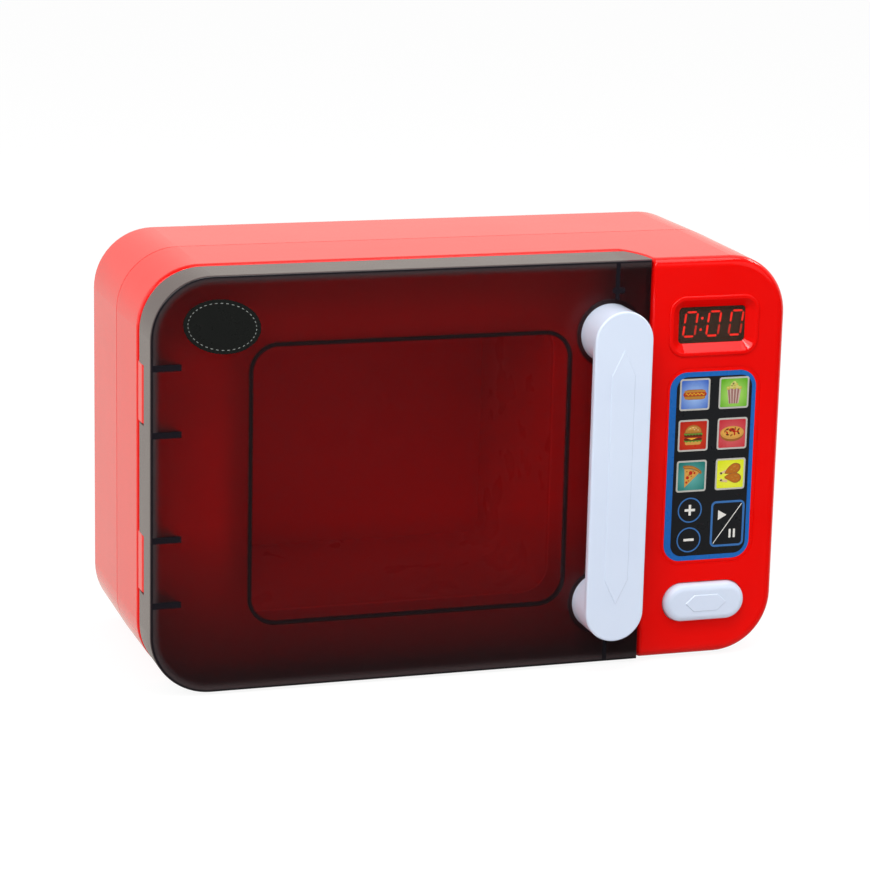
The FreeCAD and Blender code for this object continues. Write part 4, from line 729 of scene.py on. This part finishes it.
def drumsticks(picture):
    """Two fried drumsticks, one before the other."""
    meat_outline = (
        (-3.2, -0.2), (-1.0, 1.6), (2.0, 2.3), (4.3, 1.0), (4.2, -1.0), (2.0, -2.2), (-1.0, -1.3))
    for angle, across, up, layer in ((22, 0.4, 1.8, 4), (-8, 0.6, -1.7, 8)):
        # the bone's end is lower than the meat, most where the drumstick tilts down
        low = up - 1.5 + 0.02 * angle
        shank = turned(rounded(3.6, 1.1, 0.5), angle, across - 3.6, low + 0.3)
        knuckle = arc(across - 5.0, low + 0.55 - 0.04 * angle, 0.65, 0.6, count=12)
        picture.add(bone, shank, knuckle, layer=layer)
        for finish, size, step in ((crust, 1.06, 1), (fried, 0.92, 2)):
            curve = smooth([(size * x, size * z) for x, z in meat_outline])
            picture.add(finish, turned(curve, angle, across, up), layer=layer + step)
        for x, z, reach in ((2.0, 0.9, 0.9), (0.2, 0.2, 0.6), (3.0, -0.5, 0.6), (1.2, -0.9, 0.5)):
            spot = turned(arc(x, z, reach, 0.4 * reach, count=10), angle, across, up)
            picture.add(bun, spot, layer=layer + 3)


# what each key shows, on a ground of these colours in its middle and at its rim
PICTURES = {
    "key_sausage": (hot_dog, (0.34, 0.52, 0.84), (0.05, 0.14, 0.55)),
    "key_popcorn": (popcorn, (0.44, 0.74, 0.16), (0.12, 0.42, 0.015)),
    "key_burger": (burger, (0.60, 0.06, 0.015), (0.50, 0.014, 0.006)),
    "key_pie": (pie, (0.66, 0.13, 0.13), (0.56, 0.03, 0.045)),
    "key_pizza": (pizza, (0.12, 0.42, 0.38), (0.014, 0.18, 0.16)),
    "key_chicken": (drumsticks, (0.86, 0.86, 0.08), (0.72, 0.78, 0.01)),
}
TILE_WIDTH, TILE_HEIGHT, TILE_CORNER, TILE_RIM = 14.5, 14.6, 1.2, 0.8
# the radius of the ring round the plus and the minus, how wide it is, and the signs
RING, RING_BAND = 5.85, 0.6
SIGN_LENGTH, SIGN_WIDTH, SIGN_CORNER = 5.0, 1.15, 0.15
# the band round the play key
PLAY_WIDTH, PLAY_HEIGHT, PLAY_CORNER, PLAY_BAND = 16.4, 21.5, 2.5, 1.0
# the slash across the play key points at the corners of a box this much smaller
SLASH_INSET, SLASH_LENGTH, SLASH_WIDTH = 2.6, 22.5, 0.36
PAUSE_PLACES, PAUSE_UP, PAUSE_WIDTH, PAUSE_HEIGHT = (1.4, 3.5), -4.7, 1.0, 4.1


def key_picture(key):
    """A printing over a key, such as picture_pie over key_pie."""
    return Printing("picture_" + key.split("_")[1], middle(key), FILM_FRONT)


for name, (draw, glow, rim) in PICTURES.items():
    picture = key_picture(name)
    picture.add(tile_rim, rounded(TILE_WIDTH, TILE_HEIGHT, TILE_CORNER), layer=2)
    picture.add(
        glowing_paint(name + "_ground", glow, rim),
        rounded(TILE_WIDTH - 2 * TILE_RIM, TILE_HEIGHT - 2 * TILE_RIM, TILE_CORNER / 2), layer=3)
    draw(picture)
    picture.piece("casing", "keypad_film")

for name in ("key_plus", "key_minus"):
    picture = key_picture(name)
    outer, inner = (arc(0, 0, reach, reach, count=48) for reach in (RING, RING - RING_BAND))
    picture.band(key_ring, outer, inner, layer=2)
    picture.add(glyph, rounded(SIGN_LENGTH, SIGN_WIDTH, SIGN_CORNER), layer=2)
    if name == "key_plus":
        picture.add(glyph, rounded(SIGN_WIDTH, SIGN_LENGTH, SIGN_CORNER), layer=3)
    picture.piece("casing", "keypad_film")

picture = key_picture("key_play")
outer, inner = (
    rounded(PLAY_WIDTH - 2 * inset, PLAY_HEIGHT - 2 * inset, PLAY_CORNER - inset)
    for inset in (0, PLAY_BAND))
picture.band(key_ring, outer, inner, layer=2)
slash = math.degrees(math.atan2(PLAY_HEIGHT - SLASH_INSET, PLAY_WIDTH - SLASH_INSET))
picture.add(glyph, turned(rounded(SLASH_LENGTH, SLASH_WIDTH, 0.1), slash), layer=3)
picture.add(glyph, [(-4.7, 6.5), (-4.7, 1.8), (-0.6, 4.1)], layer=2)
for across in PAUSE_PLACES:
    picture.add(glyph, rounded(PAUSE_WIDTH, PAUSE_HEIGHT, 0.3, across, PAUSE_UP), layer=2)
picture.piece("casing", "keypad_film")


# ---------------------------------------------------------------- display digits

DIGIT_HEIGHT, DIGIT_WIDTH, DIGIT_SLANT = 11.0, 5.6, 0.12
SEGMENT, SEGMENT_GAP = 0.9, 0.45
# where the three digits are, and the colon and its two dots, which have a radius
DIGITS = (-9.6, 1.6, 12.4)
COLON, COLON_UPS, DOT = -4.3, (-2.6, 2.6), 0.6
# each segment's ends, across in widths and up in half heights from its digit's middle
SEGMENTS = {
    "top": ((-0.5, 1.0), (0.5, 1.0)), "bottom": ((-0.5, -1.0), (0.5, -1.0)),
    "upper_left": ((-0.5, 1.0), (-0.5, 0.0)), "upper_right": ((0.5, 1.0), (0.5, 0.0)),
    "lower_left": ((-0.5, 0.0), (-0.5, -1.0)), "lower_right": ((0.5, 0.0), (0.5, -1.0)),
}


def segment(first, last, across):
    """A slanted bar with pointed ends between two corners of a digit."""
    ends = []
    for x, z in (first, last):
        up = z * DIGIT_HEIGHT / 2
        ends.append(Vector((across + x * DIGIT_WIDTH + up * DIGIT_SLANT, up)))
    along = (ends[1] - ends[0]).normalized()
    side = Vector((-along.y, along.x)) * (SEGMENT / 2)
    step = along * (SEGMENT / 2)
    near, far = ends[0] + along * SEGMENT_GAP, ends[1] - along * SEGMENT_GAP
    return [tuple(spot) for spot in (
        near, near + step - side, far - step - side, far, far - step + side, near + step + side)]


module_low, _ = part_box("display_module")
digits = Printing("display_digits", middle("display_lens"), module_low.y)
bright, dim = lit("segment_bright", 2.2), lit("segment_dim", 1.0)
for number, across in enumerate(DIGITS):
    for name, (first, last) in SEGMENTS.items():
        # the last digit is dim in its lower half, and the others at the lower right
        faint = number == 2 and "lower" in name or name == "lower_right"
        digits.add(dim if faint else bright, segment(first, last, across))
for up in COLON_UPS:
    digits.add(bright, arc(COLON + up * DIGIT_SLANT, up, DOT, DOT, count=16))
digits.piece("casing", "smoked_lens")


# ---------------------------------------------------------------- badge

BADGE_WIDTH, BADGE_HEIGHT, BADGE_TILT = 34.1, 23.5, -8.5
# the stitches lie on an ellipse inside the badge's edge, each fills a share of its
# stretch of that line, and their thread is this thick
LINE_ACROSS, LINE_UP = 0.44 * BADGE_WIDTH, 0.43 * BADGE_HEIGHT
STITCHES, STITCH, THREAD = 38, 0.45, 0.26
badge_low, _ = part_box("door_badge")
thread = paint("badge_thread", (0.32, 0.34, 0.32), 0.4)
stitching = Printing("badge_stitching", middle("door_badge"), badge_low.y)
for number in range(STITCHES):
    start = 360 * number / STITCHES
    end = start + 360 / STITCHES * STITCH
    outer, inner = (
        arc(0, 0, LINE_ACROSS + side, LINE_UP + side, start, end, 3)
        for side in (THREAD / 2, -THREAD / 2))
    stitching.add(thread, turned(outer + inner[::-1], BADGE_TILT))
stitching.piece("door", "badge")


# ---------------------------------------------------------------- floor, light and camera

# how bright the surroundings light the object, which part of the floor's look to the
# camera is a glow of its own, and how bright that glow is
AMBIENT, FLOOR_GLOW, FLOOR_LIGHT = 0.52, 0.74, 1.22
# how bright the surroundings and the floor are in mirrored rays, in front and behind,
# where each changes from one to the other, and in what colour
FRONT_GLEAM, REAR_GLEAM = 0.015, 0.88
SKY_TURN, FLOOR_TURN = (-0.3, 0.3), (-0.08, 0.04)
NEUTRAL, WARM = (1.0, 1.0, 1.0), (1.0, 0.95, 0.87)
FLOOR_SIZE, FLOOR_GREY = 30, (0.55, 0.55, 0.55)


def white_surroundings():
    """A world that is white to the camera, soft as a light, and darker in front when mirrored."""
    world = bpy.data.worlds.new("surroundings")
    bpy.context.scene.world = world
    world.use_nodes = True
    sky = Nodes(world.node_tree)
    background = world.node_tree.nodes["Background"]
    _, depth, _ = sky.apart(sky.node("TexCoord").outputs["Generated"])
    seen, glossy = sky.rays()
    neither = sky.math("SUBTRACT", 1.0, sky.math("MAXIMUM", seen, glossy))
    gleam = sky.math("MULTIPLY", glossy, sky.spread(depth, *SKY_TURN, FRONT_GLEAM, REAR_GLEAM))
    strength = sky.math("MULTIPLY_ADD", neither, AMBIENT, sky.math("MAXIMUM", seen, gleam))
    sky.feed(background.inputs["Color"], sky.blend(glossy, NEUTRAL, WARM))
    sky.feed(background.inputs["Strength"], strength)


def floor():
    """A pale floor that keeps the object's shadow, and is darker in front when mirrored."""
    bpy.ops.mesh.primitive_plane_add(size=FLOOR_SIZE)
    plane = bpy.context.object
    plane.name = "floor"
    finish = Finish("floor", Base_Color=FLOOR_GREY, Roughness=0.9, Specular_IOR_Level=0.0)
    _, depth, _ = finish.apart(finish.place)
    seen, glossy = finish.rays()
    gleam = finish.math(
        "MULTIPLY", glossy, finish.spread(depth, *FLOOR_TURN, FRONT_GLEAM, REAR_GLEAM))
    strength = finish.math("ADD", gleam, finish.between(glossy, FLOOR_LIGHT, 0.0))
    glow = finish.fed("Emission", finish.blend(glossy, NEUTRAL, WARM), strength)
    share = finish.math("MAXIMUM", finish.math("MULTIPLY", seen, FLOOR_GLOW), glossy)
    finish.show(share, finish.shader.outputs[0], glow)
    plane.data.materials.append(finish.material)


def softbox(name, place, target, width, height, power):
    """A rectangular light at a place, turned to a target; its power is in watts."""
    light = bpy.data.lights.new(name, "AREA")
    light.shape = "RECTANGLE"
    light.size = width
    light.size_y = height
    light.energy = power
    made = placed(name, light)
    made.location = place
    made.rotation_euler = (Vector(target) - Vector(place)).to_track_quat("-Z", "Y").to_euler()


OBJECT_MIDDLE = (0, 0, 0.09)
# each light's name, place, target, width, height and power
SOFTBOXES = (
    ("key_light", (-0.9, -1.1, 1.3), OBJECT_MIDDLE, 1.0, 1.0, 12),
    ("left_light", (-1.3, 0.3, 0.55), OBJECT_MIDDLE, 1.6, 1.2, 6.5),
    ("fill_light", (1.3, -1.3, 0.9), OBJECT_MIDDLE, 1.2, 1.2, 2.5),
    ("edge_light", (1.05, 0.28, 0.95), (0.12, -0.05, 0.17), 0.35, 0.3, 3),
    ("top_light", (0.4, -0.25, 1.4), OBJECT_MIDDLE, 0.9, 0.7, 5),
    ("near_light", (-0.06, -0.36, 0.66), (0.05, -0.05, 0.12), 0.24, 0.10, 1.0),
)

# the camera's azimuth from the front, elevation and roll, in degrees; how far it is
# from what it looks at, and where that is; its sensor's width and its focal length
CAMERA_ANGLES = (-17.959, 13.914, 1.339)
CAMERA_DISTANCE, CAMERA_TARGET = 1327.81, (-18.84, -52.35, 111.58)
CAMERA_SENSOR, CAMERA_LENS = 36.0, 126.03


def camera():
    """The camera at the photograph's viewing angle."""
    azimuth, elevation, roll = (math.radians(angle) for angle in CAMERA_ANGLES)
    back = Vector((
        math.sin(azimuth) * math.cos(elevation),
        -math.cos(azimuth) * math.cos(elevation),
        math.sin(elevation)))
    right = Vector((0, 0, 1)).cross(back).normalized()
    up = back.cross(right)
    across = math.cos(roll) * right + math.sin(roll) * up
    upward = math.cos(roll) * up - math.sin(roll) * right
    data = bpy.data.cameras.new("camera")
    data.sensor_width = CAMERA_SENSOR
    data.lens = CAMERA_LENS
    made = placed("camera", data)
    pose = Matrix((across, upward, back)).transposed().to_4x4()
    pose.translation = Vector(CAMERA_TARGET) * MM + back * CAMERA_DISTANCE * MM
    made.matrix_world = pose
    bpy.context.scene.camera = made


white_surroundings()
floor()
for settings in SOFTBOXES:
    softbox(*settings)
camera()
bpy.context.scene.view_settings.view_transform = "Standard"
